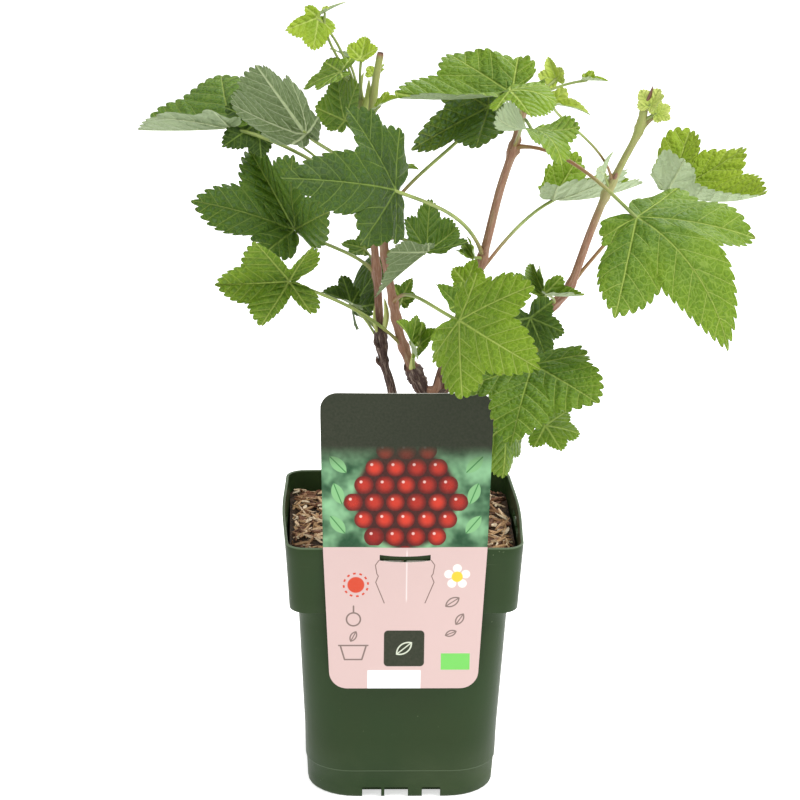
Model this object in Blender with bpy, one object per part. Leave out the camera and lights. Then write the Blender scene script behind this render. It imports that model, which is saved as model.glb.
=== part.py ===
"""A young redcurrant bush in a square nursery pot, with a hang label on the pot's front.

The origin is the middle of the pot's underside, on the ground. +Z is up and the label faces -Y.
Sizes and places are in millimetres, and are scaled to metres when a mesh is made.
"""

import math
import random

import bpy
from mathutils import Vector

MM = 0.001
GAP = 0.35

# The pot: a square tapered body under a wider collar.
RIM_Z = 130.0
RIM_HALF = 55.0
COLLAR_DEPTH = 33.0
COLLAR_FOOT_HALF = 53.0
SHOULDER_HALF = 48.8
FOOT_HALF = 44.1
WALL = 1.3
COLLAR_CORNER = 9.0
SHOULDER_CORNER = 12.0
FOOT_CORNER = 23.0
CORNER_STEPS = 5
FLOOR_RISE = 5.5
FLOOR_THICK = 1.4
RIDGE_Z = 14.0
RIDGE_STEP = 0.45
SOLE_EDGE = 3.0
SOLE_INSET = 0.8

# Openings in the pot: a slot for a label in each side, and drainage at the foot.
SLOT_WIDE = 30.0
SLOT_LOW = 120.2
SLOT_HIGH = 124.0
NOTCH_WIDE = 37.0
INNER_SKIRT_HALF = 36.0
DRAIN_WIDE = 5.5
DRAIN_OFFSET = 7.0
DRAIN_HOLE = 3.2
DRAIN_GRID = 26.0
DRAIN_SIDES = 10
CENTRE_FOOT = 2.6
FOOT_SIDES = 12
SKIRT_GAP = 4.0
SKIRT_SEAT = 0.5
NOTCH_END = 2.0
NOTCH_ROOF = 0.2
CUT_PAST = 3.0

# The growing mix in the pot, with bark and fibre lying on it.
# A chip is given by its ranges of length and of width, and by its thickness.
SOIL_EDGE_Z = 119.5
SOIL_RISE = 3.6
SOIL_SHOULDER = 0.8
SOIL_SHOULDER_RISE = 0.6
SOIL_CROWN = 0.35
CHIPS = 54
CHIP_SEED = 11
CHIP_CLEAR_OF_STEM = 10.5
FLAT_CHIP = ((7, 11), (4, 7), 2.4)
STRAW_CHIP = ((9, 15), (1.8, 1.8), 1.6)
FLAT_SHARE = 0.4
SLOT_CLEAR_X = 20.0
SLOT_CLEAR_Y = -42.0

# The label: a thin tapered card, hung by a tongue through the pot's front slot.
LABEL_TOP_Z = 205.0
LABEL_BEND_Z = 129.0
LABEL_FOOT_Z = 61.0
LABEL_TOP_HALF = 39.4
LABEL_BEND_HALF = 37.6
LABEL_FOOT_HALF = 34.2
LABEL_CORNER = 8.0
LABEL_THICK = 0.7
LABEL_BACK_Y = -55.4
WINDOW_HALF = 12.0
WINDOW_LOW = 124.7
WINDOW_HIGH = 127.6
TONGUE_HALF = 10.0
TONGUE_Z = 121.6
TONGUE_IN = 5.6
TONGUE_LIP = 1.9

# The leaf: five main veins from the leaf's joint, at these angles from the midrib in degrees.
# The margin's reach is a share of the midrib. It runs from lobe to lobe through a notch between them.
LOBE_ANGLE = 53
BASAL_ANGLE = 109
NOTCH_ANGLE = 27
CLEFT_ANGLE = 83
HEEL_ANGLE = 158
LOBE = 0.90
NOTCH = 0.70
CLEFT = 0.56
BASAL = 0.55
HEEL = 0.16
JOINT_EDGE = 0.07
FULL = 0.70
HOLLOW = 1.7
DEEP = 0.3
TOOTH = 0.05
BLADE_THICK = 0.75
INNER_RING = 0.55
FOLD_WIDTH = 0.04
SMALL_LEAF = 22.0


class Leaf:
    """One leaf: where its stalk leaves the stem, its joint with the blade, and how the blade lies.

    foot is the height on the stem. joint and tip are the two ends of the midrib.
    roll turns the blade about the midrib from upper face up, fold lifts both halves, in degrees.
    droop arches the midrib, and cup curls both halves up.
    left and right scale the side lobes as seen from above.
    notch, cleft and basal are the margin's reach at those places, and full is how far the lobes
    bulge between them (less is fuller), for the left and the right half.
    """

    def __init__(self, name, foot, joint, tip, roll=0, fold=12, droop=0.3, left=1.0, right=1.0,
                 notch=(NOTCH, NOTCH), cleft=(CLEFT, CLEFT), basal=(BASAL, BASAL), full=(FULL, FULL),
                 cup=0.0):
        self.name = name
        self.foot = foot
        self.joint = Vector(joint)
        self.tip = Vector(tip)
        self.roll = roll
        self.fold = fold
        self.droop = droop
        self.left = left
        self.right = right
        self.full = full
        self.cup = cup
        self.margins = [
            ((0, 1.0), (NOTCH_ANGLE, notch[side]), (LOBE_ANGLE, LOBE), (CLEFT_ANGLE, cleft[side]),
             (BASAL_ANGLE, basal[side]), (HEEL_ANGLE, HEEL), (180, JOINT_EDGE))
            for side in (0, 1)
        ]


class Stem:
    """One woody stem: the points it grows through, its radius low down and at the top, and its leaves."""

    def __init__(self, name, points, low, top, leaves, stub=None):
        self.name = name
        self.points = [Vector(p) for p in points]
        self.low = low
        self.top = top
        self.leaves = leaves
        self.stub = stub


LEFT_STEM = Stem(
    "left_stem",
    [(-2, 2, 92), (-2, 2, 125), (-3, 2, 170), (-5, 2, 187), (-7, 3, 195), (-9, 3, 202), (-11, 5, 219),
     (-12, 6, 235), (-14, 8, 259), (-17, 9, 285), (-19, 9, 306), (-20, 8, 318), (-21, 6, 327)],
    2.4, 1.5,
    [
        Leaf("tip", 325, (-40, 10, 363), (-55, 4, 358), -70, 15, 0.3, 1.1, 0.55, basal=(0.5, 0.3)),
        Leaf("tip_wing", 324, (-38, 10, 365), (-28, 10, 370), 0, 30, 0.2, 0.45, 0.45),
        Leaf("bright_cup", 322, (-21, -10, 348), (-19, -5, 357), 3, 26, -0.15, 0.95, 0.95,
             (0.75, 0.75), (0.6, 0.4), (0.25, 0.25), (0.4, 0.4), cup=-0.4),
        Leaf("sliver", 324, (-27, 14, 344), (-35, 8, 349), 0, 10, 0.3, 0.8, 0.8),
        Leaf("under_tip", 318, (-30, -5, 341), (-47, 1, 332), -20, 5, 0.3, 0.85, 0.95),
        Leaf("dark_upright", 304, (-28, -3, 318), (-31, 8, 337), -68, 7, 0.35, 1.0, 1.05,
             (0.8, 0.8), basal=(0.3, 0.3)),
        Leaf("upturned", 283, (-46, -40, 320), (-67, -55, 353), 77, 52, 0.0, 0.75, 0.97,
             (0.8, 0.85), (0.56, 0.63), (0.63, 0.23), (0.8, 0.3), cup=0.2),
        Leaf("far_left", 274, (-80, 15, 311), (-124, 48, 303), -3, 37, -0.15, 0.75, 1.1,
             (0.62, 0.79), full=(0.4, 0.9), cup=-0.3),
        Leaf("shade_far", 270, (-68, 20, 312), (-84, 8, 303), -60, 10, 0.3, 0.9, 0.9, basal=(0.4, 0.4)),
        Leaf("lower_left", 243, (-51, 5, 265), (-72, 30, 297), -55, 61, 0.0, 1.2, 0.9,
             (0.6, 0.7), (0.45, 0.58), (0.4, 0.85), (1.0, 0.55), cup=-0.35),
        Leaf("shade_back", 214, (-23, 25, 221), (-15, 50, 239), -60, -25, 0.85, 0.8, 1.0,
             basal=(0.45, 0.45)),
        Leaf("shade_left", 208, (-24, 16, 226), (-38, 8, 234), -30, 35, 0.3, 0.9, 0.9),
        Leaf("small_left", 246, (-18, 16, 253), (-29, 22, 254), -30, 10, 0.2, 0.8, 0.8),
    ],
)
TRUNK = Stem(
    "trunk",
    [(7, 0, 92), (7, 0, 125), (8, 1, 148), (11, 2, 170), (14, 3, 181), (15, 4, 188)],
    4.3, 3.6,
    [],
)
CENTRE_BRANCH = Stem(
    "centre_branch",
    [(13, 2, 178), (10, 0, 187), (6, 0, 196), (2, 0, 205), (-2, -1, 217),
     (-5, -2, 232), (-8, -3, 248), (-10, -4, 262), (-13, -2, 290), (-16, -1, 318), (-12, 0, 349)],
    2.5, 1.6,
    [
        Leaf("front_left", 210, (-53, -35, 251), (-86, -38, 250), -78, 42, 0.4, 1.0, 1.05,
             (0.7, 0.75), (0.25, 0.2), (0.6, 0.62)),
        Leaf("front_large", 232, (22, -70, 243), (55, -99, 230), 63, -7, 0.7, 0.9, 0.85, full=(0.8, 0.8)),
        Leaf("middle_upper", 262, (11, 9, 254), (26, 28, 260), 30, 40, -0.3, 1.1, 0.85, basal=(0.7, 0.3)),
        Leaf("middle_hanging", 255, (10, -18, 261), (-14, -23, 241), 27, 20, 0.1, 0.85, 0.8,
             (0.75, 0.75), (0.35, 0.55), (0.2, 0.3), cup=0.3),
        Leaf("bud_right", 316, (-13, -8, 326), (-4, -13, 331), 20, 20, 0.3, 0.8, 0.8),
        Leaf("bud_high", 330, (-15, 7, 337), (-10, 13, 341), 0, 20, 0.3, 0.8, 0.8),
        Leaf("tiny_upper", 285, (-2, 4, 294), (6, 0, 295), 0, 10, 0.3, 0.9, 0.9),
        Leaf("tiny_behind", 224, (-1, 6, 231), (4, 8, 241), 40, 10, 0.3, 0.8, 0.8),
        Leaf("young_low_left", 196, (3, -18, 217), (-4, -26, 230), -60, 25, 0.5, 0.9, 0.9),
        Leaf("young_low_right", 199, (7, -12, 214), (16, -18, 223), 50, 20, 0.3, 0.9, 0.9),
        Leaf("quilted", 270, (38, 5, 323), (3, -3, 305), -54, 45, 0.3, 0.95, 0.75,
             cleft=(0.7, 0.55), basal=(0.4, 0.5)),
    ],
)
TALL_BRANCH = Stem(
    "tall_branch",
    [(14, 3, 180), (17, 5, 191), (23, 8, 211), (31, 10, 235), (37, 10, 251),
     (44, 8, 283), (50, 6, 304), (53, 4, 320), (56, 2, 328)],
    2.4, 1.7,
    [
        Leaf("big_left", 251, (-6, -45, 296), (-56, -78, 309), -72, -9, 0.8, 0.58, 0.76,
             (0.7, 0.63), (0.57, 0.6), (0.67, 0.64), (0.35, 0.9)),
        Leaf("top_large", 322, (47, -14, 334), (-5, -20, 334), -9, 33, -0.35, 0.83, 0.8,
             (0.65, 0.8), (0.45, 0.6), cup=-0.3),
        Leaf("top_light", 318, (44, -45, 341), (64, -51, 337), 13, -13, 0.8, 1.05, 1.15,
             (0.7, 0.9), (0.5, 0.3)),
        Leaf("near_top", 304, (51, -77, 331), (63, -95, 320), -10, -9, 1.1, 1.0, 1.25,
             cleft=(0.6, 0.7), full=(0.5, 0.95), cup=0.65),
        Leaf("big_right", 304, (102, -45, 284), (141, -73, 232), 28, -14, 1.3, 0.8, 0.83,
             (0.65, 0.65), (0.65, 0.35), (0.6, 0.3), (0.75, 1.0)),
        Leaf("back_lit", 238, (72, 45, 270), (116, 60, 275), 10, 48, -0.5, 0.7, 0.9,
             (0.6, 0.7), basal=(0.3, 0.45)),
        Leaf("curl", 249, (32, 0, 253), (28, 20, 255), -40, 65, -0.35, 0.55, 0.6),
        Leaf("low_upright", 234, (29, -8, 242), (33, -2, 253), -10, 15, 0.3, 1.0, 1.0),
        Leaf("low_small", 226, (24, -14, 234), (14, -18, 245), -60, 30, 0.3, 0.8, 0.8),
        Leaf("wing_up", 327, (69, 8, 335), (65, 12, 345), -60, 30, 0.3, 0.9, 0.7),
        Leaf("wing_out", 325, (82, 4, 336), (92, 2, 336), 20, 55, 0.1, 0.6, 0.6),
    ],
)
RIGHT_BRANCH = Stem(
    "right_branch",
    [(13, 3, 182), (24, 9, 190), (38, 16, 200), (56, 22, 211), (73, 26, 224),
     (80, 26, 233), (88, 24, 258), (95, 22, 278), (102, 20, 294), (109, 18, 310), (111, 17, 323)],
    2.5, 1.5,
    [
        Leaf("frill", 284, (64, -21, 330), (81, -28, 327), 20, 40, 0.5, 0.6, 0.6),
        Leaf("side_bud", 280, (93, 14, 289), (96, 10, 301), 30, 20, 0.3, 0.8, 0.8),
        Leaf("crown_left", 318, (113, 14, 322), (118, 19, 329), 0, 20, 0.3, 1.1, 1.0),
        Leaf("crown_right", 313, (116, 15, 318), (123, 18, 321), 60, 20, 0.4, 1.0, 1.0),
        Leaf("far_right", 233, (125, 30, 278), (164, -14, 287), -7, 55, -0.5, 0.75, 0.62,
             (0.8, 0.6), (0.5, 0.65), (0.8, 0.35), (0.6, 1.0)),
        Leaf("curved_dark", 214, (58, -14, 228), (66, -9, 208), 114, 38, 0.55, 0.9, 1.05,
             basal=(0.75, 0.65), full=(0.4, 0.65)),
        Leaf("low_left_wing", 221, (67, 21, 230), (62, 45, 238), -40, 65, -0.1, 0.75, 0.6,
             basal=(0.35, 0.4)),
        Leaf("low_right_wing", 223, (66, 3, 235), (85, 10, 233), 32, 55, -0.5, 0.65, 0.75,
             basal=(0.2, 0.45)),
        Leaf("front_low", 203, (56, -60, 220), (44, -101, 195), 3, 5, 0.35, 0.97, 0.83, basal=(0.5, 0.55)),
        Leaf("lowest_right", 199, (65, -30, 181), (81, -30, 177), 35, -10, 0.4, 1.05, 0.95,
             basal=(0.5, 0.8), full=(0.7, 0.3)),
        Leaf("lowest", 197, (46, -34, 183), (45, -39, 159), -50, -9, 0.3, 0.95, 1.1,
             basal=(0.75, 0.6), full=(0.5, 0.6), cup=-0.3),
    ],
    stub=[(108, 18, 308), (113, 19, 314), (120, 20, 319)],
)
STEMS = {"left_stem": (LEFT_STEM,), "forked_stem": (TRUNK, CENTRE_BRANCH, TALL_BRANCH, RIGHT_BRANCH)}
STEM_SIDES = 8
STEM_STEPS = 2
STALK_SIDES = 4
STALK_STEPS = 5
STALK_FOOT = 1.15
STALK_JOINT = 0.85
STALK_LAP = 3.0
STALK_SINK = 0.35
SMALL_STALK = 0.75


def clear_scene():
    for obj in list(bpy.data.objects):
        bpy.data.objects.remove(obj)


def material(name, colour, roughness):
    made = bpy.data.materials.new(name)
    made.use_nodes = True
    shader = made.node_tree.nodes["Principled BSDF"]
    shader.inputs["Base Color"].default_value = (*colour, 1.0)
    shader.inputs["Roughness"].default_value = roughness
    shader.inputs["Metallic"].default_value = 0.0
    return made


def mesh_object(name, points, faces):
    """A mesh object from points in millimetres."""
    mesh = bpy.data.meshes.new(name)
    mesh.from_pydata([Vector(p) * MM for p in points], [], faces)
    mesh.validate()
    obj = bpy.data.objects.new(name, mesh)
    bpy.context.scene.collection.objects.link(obj)
    return obj


def merge(base, others, operation, solver):
    """Unites others with base, or cuts them out of it, in one Boolean, and removes them."""
    group = bpy.data.collections.new(base.name + "_" + operation.lower())
    bpy.context.scene.collection.children.link(group)
    for obj in others:
        bpy.context.scene.collection.objects.unlink(obj)
        group.objects.link(obj)
    boolean = base.modifiers.new(operation.lower(), "BOOLEAN")
    boolean.operation = operation
    boolean.operand_type = "COLLECTION"
    boolean.collection = group
    boolean.solver = solver
    bpy.context.view_layer.update()
    graph = bpy.context.evaluated_depsgraph_get()
    merged = bpy.data.meshes.new_from_object(base.evaluated_get(graph))
    base.modifiers.clear()
    base.data = merged
    for obj in others:
        bpy.data.objects.remove(obj)
    bpy.data.collections.remove(group)


def finish(obj, surface):
    obj.data.materials.clear()
    obj.data.materials.append(surface)


def box(name, low, high):
    (x0, y0, z0), (x1, y1, z1) = low, high
    points = [(x, y, z) for z in (z0, z1) for x, y in ((x0, y0), (x1, y0), (x1, y1), (x0, y1))]
    faces = [(3, 2, 1, 0), (4, 5, 6, 7), (0, 1, 5, 4), (1, 2, 6, 5), (2, 3, 7, 6), (3, 0, 4, 7)]
    return mesh_object(name, points, faces)


def rounded_square(half, corner, z):
    """Points round a square with round corners, anticlockwise from above."""
    ring = []
    for quarter in range(4):
        turn = quarter * math.pi / 2
        for step in range(CORNER_STEPS + 1):
            angle = turn + step / CORNER_STEPS * math.pi / 2
            middle = half - corner
            cx = middle * (1 if quarter in (0, 3) else -1)
            cy = middle * (1 if quarter in (0, 1) else -1)
            ring.append((cx + corner * math.cos(angle), cy + corner * math.sin(angle), z))
    return ring


def stack(name, rings):
    """A closed solid through rings of equal length, from the first cap to the last."""
    points = [p for ring in rings for p in ring]
    count = len(rings[0])
    faces = [tuple(reversed(range(count)))]
    for level in range(len(rings) - 1):
        low = level * count
        for i in range(count):
            j = (i + 1) % count
            faces.append((low + i, low + j, low + count + j, low + count + i))
    faces.append(tuple(range(len(points) - count, len(points))))
    return mesh_object(name, points, faces)


def tube(name, line, radii, sides):
    """A closed tube along a line of points, with a radius at each point."""
    points, faces = [], []
    across = None
    for i, centre in enumerate(line):
        ahead = (line[min(i + 1, len(line) - 1)] - line[max(i - 1, 0)]).normalized()
        start = across if across else Vector((0, 1, 0)) if abs(ahead.y) < 0.9 else Vector((1, 0, 0))
        across = (start - ahead * start.dot(ahead)).normalized()
        other = ahead.cross(across)
        for side in range(sides):
            angle = 2 * math.pi * side / sides
            points.append(centre + (across * math.cos(angle) + other * math.sin(angle)) * radii[i])
    faces.append(tuple(reversed(range(sides))))
    for i in range(len(line) - 1):
        for side in range(sides):
            nxt = (side + 1) % sides
            low, high = i * sides, (i + 1) * sides
            faces.append((low + side, low + nxt, high + nxt, high + side))
    faces.append(tuple(range(len(points) - sides, len(points))))
    return mesh_object(name, points, faces)


def smooth_line(points, steps):
    """A Catmull-Rom line through the points, with steps pieces between each two."""
    line = []
    for i in range(len(points) - 1):
        before = points[max(i - 1, 0)]
        after = points[min(i + 2, len(points) - 1)]
        a, b = points[i], points[i + 1]
        for step in range(steps):
            t = step / steps
            line.append(
                0.5 * (2 * a + (b - before) * t + (2 * before - 5 * a + 4 * b - after) * t * t
                       + (3 * a - before - 3 * b + after) * t ** 3)
            )
    line.append(points[-1])
    return line


def pot_half(z):
    """Half the body's outer width at a height under the collar."""
    share = z / (RIM_Z - COLLAR_DEPTH)
    return FOOT_HALF + (SHOULDER_HALF - FOOT_HALF) * share


def pot_corner(z):
    share = z / (RIM_Z - COLLAR_DEPTH)
    return FOOT_CORNER + (SHOULDER_CORNER - FOOT_CORNER) * share


def collar_half(z):
    share = (z - RIM_Z + COLLAR_DEPTH) / COLLAR_DEPTH
    return COLLAR_FOOT_HALF + (RIM_HALF - COLLAR_FOOT_HALF) * share


def pot_shell():
    """The pot's wall, collar and raised floor as one closed shell."""
    collar_z = RIM_Z - COLLAR_DEPTH
    floor_top = FLOOR_RISE + FLOOR_THICK
    return stack("pot", [
        rounded_square(FOOT_HALF - WALL, FOOT_CORNER - WALL, FLOOR_RISE),
        rounded_square(FOOT_HALF - WALL - SOLE_INSET, FOOT_CORNER - WALL, 0),
        rounded_square(FOOT_HALF - SOLE_INSET, FOOT_CORNER, 0),
        rounded_square(FOOT_HALF, FOOT_CORNER, SOLE_EDGE),
        rounded_square(pot_half(RIDGE_Z), pot_corner(RIDGE_Z), RIDGE_Z),
        rounded_square(pot_half(RIDGE_Z) + RIDGE_STEP, pot_corner(RIDGE_Z), RIDGE_Z + 0.3),
        rounded_square(SHOULDER_HALF, SHOULDER_CORNER, collar_z),
        rounded_square(COLLAR_FOOT_HALF, COLLAR_CORNER, collar_z),
        rounded_square(RIM_HALF, COLLAR_CORNER, RIM_Z),
        rounded_square(RIM_HALF - WALL, COLLAR_CORNER - WALL, RIM_Z),
        rounded_square(COLLAR_FOOT_HALF - WALL, COLLAR_CORNER - WALL, collar_z + WALL),
        rounded_square(SHOULDER_HALF - WALL, SHOULDER_CORNER - WALL, collar_z + WALL),
        rounded_square(pot_half(floor_top) - WALL, pot_corner(floor_top) - WALL, floor_top),
    ])


def turned(quarter, low, high, name):
    """A box given for the front side, turned to one of the four sides."""
    (x0, y0, z0), (x1, y1, z1) = low, high
    for _ in range(quarter):
        x0, y0, x1, y1 = -y1, x0, -y0, x1
    return box(name, (x0, y0, z0), (x1, y1, z1))


def make_pot(surface):
    """The shell with its inner skirt and centre foot, cut through with slots, notches and drain holes."""
    pot = pot_shell()
    top = FLOOR_RISE + SKIRT_SEAT
    foot = [Vector((0, 0, 0)), Vector((0, 0, top))]
    added = [tube("centre_foot", foot, [CENTRE_FOOT] * 2, FOOT_SIDES)]
    stretches = (
        (-INNER_SKIRT_HALF, DRAIN_OFFSET - DRAIN_WIDE / 2),
        (DRAIN_OFFSET + DRAIN_WIDE / 2, INNER_SKIRT_HALF - WALL - SKIRT_GAP),
    )
    cutters = []
    for quarter in range(4):
        for start, end in stretches:
            low = (start, -INNER_SKIRT_HALF, 0)
            high = (end, -INNER_SKIRT_HALF + WALL, top)
            added.append(turned(quarter, low, high, f"skirt_{quarter}_{end:.0f}"))
        low = (-SLOT_WIDE / 2, -RIM_HALF - CUT_PAST, SLOT_LOW)
        high = (SLOT_WIDE / 2, -RIM_HALF + 2 * CUT_PAST, SLOT_HIGH)
        cutters.append(turned(quarter, low, high, f"slot_{quarter}"))
        low = (-NOTCH_WIDE / 2, -RIM_HALF, -CUT_PAST)
        high = (NOTCH_WIDE / 2, -INNER_SKIRT_HALF - NOTCH_END, FLOOR_RISE - NOTCH_ROOF)
        cutters.append(turned(quarter, low, high, f"notch_{quarter}"))
    for x in (-DRAIN_GRID, 0, DRAIN_GRID):
        for y in (-DRAIN_GRID, 0, DRAIN_GRID):
            if x or y:
                line = [Vector((x, y, FLOOR_RISE - CUT_PAST)), Vector((x, y, FLOOR_RISE + CUT_PAST))]
                cutters.append(tube(f"drain_{x:.0f}_{y:.0f}", line, [DRAIN_HOLE] * 2, DRAIN_SIDES))
    merge(pot, added, "UNION", "EXACT")
    merge(pot, cutters, "DIFFERENCE", "EXACT")
    finish(pot, surface)
    return pot


def stem_point(stem, z):
    """The point on a stem's line at a height."""
    line = smooth_line(stem.points, 4)
    for a, b in zip(line, line[1:]):
        if a.z <= z <= b.z:
            return a.lerp(b, (z - a.z) / (b.z - a.z)), (b - a).normalized()
    return line[-1].copy(), (line[-1] - line[-2]).normalized()


def soil_top(x, y, edge):
    """The height of the mix at a place, under its chips."""
    share = max(abs(x), abs(y)) / edge
    return SOIL_EDGE_Z + SOIL_RISE * min(1.0, (1 - share) / (1 - SOIL_CROWN))


def make_chip(name, draw, middle, edge):
    """A tapered board of bark or straw, lying turned and a little tilted on the mix."""
    lengths, widths, thick = FLAT_CHIP if draw.random() < FLAT_SHARE else STRAW_CHIP
    long, wide = draw.uniform(*lengths), draw.uniform(*widths)
    long = min(long, 1.9 * (edge - max(abs(middle.x), abs(middle.y))))
    turn, tilt = draw.uniform(0, math.pi), draw.uniform(-0.25, 0.25)
    ahead = Vector((math.cos(turn) * math.cos(tilt), math.sin(turn) * math.cos(tilt), math.sin(tilt)))
    side = Vector((-math.sin(turn), math.cos(turn), 0))
    up = ahead.cross(side)
    taper = draw.uniform(0.5, 0.9)
    corners = []
    for k in (-1, 1):
        for a, s in ((-1, -1), (1, -taper), (1, taper), (-1, 1)):
            corners.append(middle + ahead * a * long / 2 + side * s * wide / 2 + up * k * thick / 2)
    faces = [(3, 2, 1, 0), (4, 5, 6, 7), (0, 1, 5, 4), (1, 2, 6, 5), (2, 3, 7, 6), (3, 0, 4, 7)]
    return mesh_object(name, corners, faces)


def make_soil(surface):
    """The mix that fills the pot, with chips sunk into its top and a hole for each stem."""
    inside = WALL + GAP
    collar_z = RIM_Z - COLLAR_DEPTH
    floor = FLOOR_RISE + FLOOR_THICK + GAP
    step = collar_z + WALL + GAP
    edge = collar_half(SOIL_EDGE_Z) - inside
    corner = COLLAR_CORNER - inside
    shoulder_z = SOIL_EDGE_Z + SOIL_RISE * SOIL_SHOULDER_RISE
    soil = stack("soil", [
        rounded_square(pot_half(floor) - inside, pot_corner(floor) - inside, floor),
        rounded_square(SHOULDER_HALF - inside - 0.2, SHOULDER_CORNER - inside, step),
        rounded_square(collar_half(step) - inside, corner, step),
        rounded_square(edge, corner, SOIL_EDGE_Z),
        rounded_square(edge * SOIL_SHOULDER, corner, shoulder_z),
        rounded_square(edge * SOIL_CROWN, corner / 2, SOIL_EDGE_Z + SOIL_RISE),
    ])
    draw = random.Random(CHIP_SEED)
    reach = edge - 5
    chips = []
    while len(chips) < CHIPS:
        x, y = draw.uniform(-reach, reach), draw.uniform(-reach, reach)
        near = min(math.hypot(x - s[0].points[0].x, y - s[0].points[0].y) for s in STEMS.values())
        if near < CHIP_CLEAR_OF_STEM or (y < SLOT_CLEAR_Y and abs(x) < SLOT_CLEAR_X):
            continue
        middle = Vector((x, y, soil_top(x, y, edge) + draw.uniform(-0.3, 0.5)))
        chips.append(make_chip(f"chip_{len(chips)}", draw, middle, edge))
    merge(soil, chips, "UNION", "MANIFOLD")
    holes = []
    for name, (stem, *_) in STEMS.items():
        foot, radius = stem.points[0], stem.low + GAP
        line = [Vector((foot.x, foot.y, foot.z - GAP)), Vector((foot.x, foot.y, RIM_Z))]
        holes.append(tube("hole_" + name, line, [radius + 0.1] * 2, 12))
    merge(soil, holes, "DIFFERENCE", "MANIFOLD")
    finish(soil, surface)
    return soil


def label_outline():
    """The label's outline, seen from the front, anticlockwise."""
    corners = [
        (-LABEL_FOOT_HALF, LABEL_FOOT_Z, 180), (LABEL_FOOT_HALF, LABEL_FOOT_Z, 270),
        (LABEL_TOP_HALF, LABEL_TOP_Z, 0), (-LABEL_TOP_HALF, LABEL_TOP_Z, 90),
    ]
    outline = []
    for n, (x, z, start) in enumerate(corners):
        cx = x - math.copysign(LABEL_CORNER, x)
        cz = z + LABEL_CORNER * (1 if n < 2 else -1)
        for step in range(CORNER_STEPS + 1):
            angle = math.radians(start + 90 * step / CORNER_STEPS)
            outline.append((cx + LABEL_CORNER * math.cos(angle), cz + LABEL_CORNER * math.sin(angle)))
        if n == 1:
            outline.append((LABEL_BEND_HALF, LABEL_BEND_Z))
    outline.append((-LABEL_BEND_HALF, LABEL_BEND_Z))
    return outline


def make_label(surface):
    """The card, its window at the rim, and the tongue that goes back through the pot's slot."""
    outline = label_outline()
    count = len(outline)
    front = LABEL_BACK_Y - LABEL_THICK
    points = [(x, front, z) for x, z in outline] + [(x, LABEL_BACK_Y, z) for x, z in outline]
    faces = [tuple(range(count)), tuple(reversed(range(count, 2 * count)))]
    faces += [(i, i + count, (i + 1) % count + count, (i + 1) % count) for i in range(count)]
    label = mesh_object("label", points, faces)
    reach = LABEL_BACK_Y + TONGUE_IN
    low = (-TONGUE_HALF, front + 0.1, TONGUE_Z - LABEL_THICK / 2)
    tongue = box("tongue", low, (TONGUE_HALF, reach, TONGUE_Z + LABEL_THICK / 2))
    low = (-TONGUE_HALF, reach - LABEL_THICK, TONGUE_Z)
    lip = box("lip", low, (TONGUE_HALF, reach + 0.05, TONGUE_Z + TONGUE_LIP))
    merge(label, [tongue, lip], "UNION", "EXACT")
    low = (-WINDOW_HALF, front - 1, WINDOW_LOW)
    window = box("window", low, (WINDOW_HALF, LABEL_BACK_Y + 0.4, WINDOW_HIGH))
    merge(label, [window], "DIFFERENCE", "EXACT")
    finish(label, surface)
    return label


def leaf_axes(leaf):
    """The blade's length and its forward, sideways and upward directions."""
    forward = (leaf.tip - leaf.joint).normalized()
    up = (Vector((0, 0, 1)) - forward * forward.z).normalized()
    turn = math.radians(leaf.roll)
    normal = up * math.cos(turn) + forward.cross(up) * math.sin(turn)
    return (leaf.tip - leaf.joint).length, forward, forward.cross(normal), normal


def margin_reach(leaf, angle):
    """The margin's distance from the joint, without its teeth, at an angle in degrees from the midrib."""
    margin, full = leaf.margins[angle > 0], leaf.full[angle > 0]
    angle = abs(angle)
    for (a, reach_a), (b, reach_b) in zip(margin, margin[1:]):
        if angle <= b:
            share = (angle - a) / (b - a)
            bulge = full if b < CLEFT_ANGLE else FULL if min(reach_a, reach_b) > DEEP else HOLLOW
            if a in (0, LOBE_ANGLE):
                share = 1 - (1 - share) ** bulge
            elif a == BASAL_ANGLE:
                share = 1 - math.cos(share * math.pi / 2) ** FULL
            else:
                share = share ** bulge
            return reach_a + (reach_b - reach_a) * share
    return JOINT_EDGE


def blade_point(leaf, angle, reach):
    """A point of the blade's upper face, from its place on the flat leaf."""
    turn = math.radians(angle)
    lobe = leaf.right if angle > 0 else leaf.left
    blend = min(1.0, abs(angle) / 30)
    reach *= 1 + (lobe - 1) * blend
    u, v = reach * math.sin(turn), reach * math.cos(turn)
    flat = abs(u) * (1 - (2 * leaf.cup * u) ** 2 / 6)
    curl = leaf.cup * u * u
    lift = math.sqrt(flat * flat + FOLD_WIDTH ** 2) - FOLD_WIDTH
    fold = math.radians(leaf.fold)
    side = math.copysign(flat - lift * (1 - math.cos(fold)) - curl * math.sin(fold), u)
    arch = leaf.droop / 2
    rise = lift * math.sin(fold) + curl * math.cos(fold) - arch * v * v
    ahead = v * (1 - (leaf.droop * v) ** 2 / 6)
    chord = Vector((1 - leaf.droop ** 2 / 6, arch)).normalized()
    length, forward, across, normal = leaf_axes(leaf)
    scale = length / Vector((1 - leaf.droop ** 2 / 6, arch)).length
    along = ahead * chord.x - rise * chord.y
    height = ahead * chord.y + rise * chord.x
    return leaf.joint + (across * side + forward * along + normal * height) * scale


def margin_angles(pieces):
    """Angles round the half margin: each stretch between lobe tip and notch is cut in pieces."""
    angles = [0.0]
    knots = (0, NOTCH_ANGLE, LOBE_ANGLE, CLEFT_ANGLE, BASAL_ANGLE, HEEL_ANGLE, 180)
    for a, b, count in zip(knots, knots[1:], pieces):
        angles += [a + (b - a) * (i + 1) / count for i in range(count)]
    return angles


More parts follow.
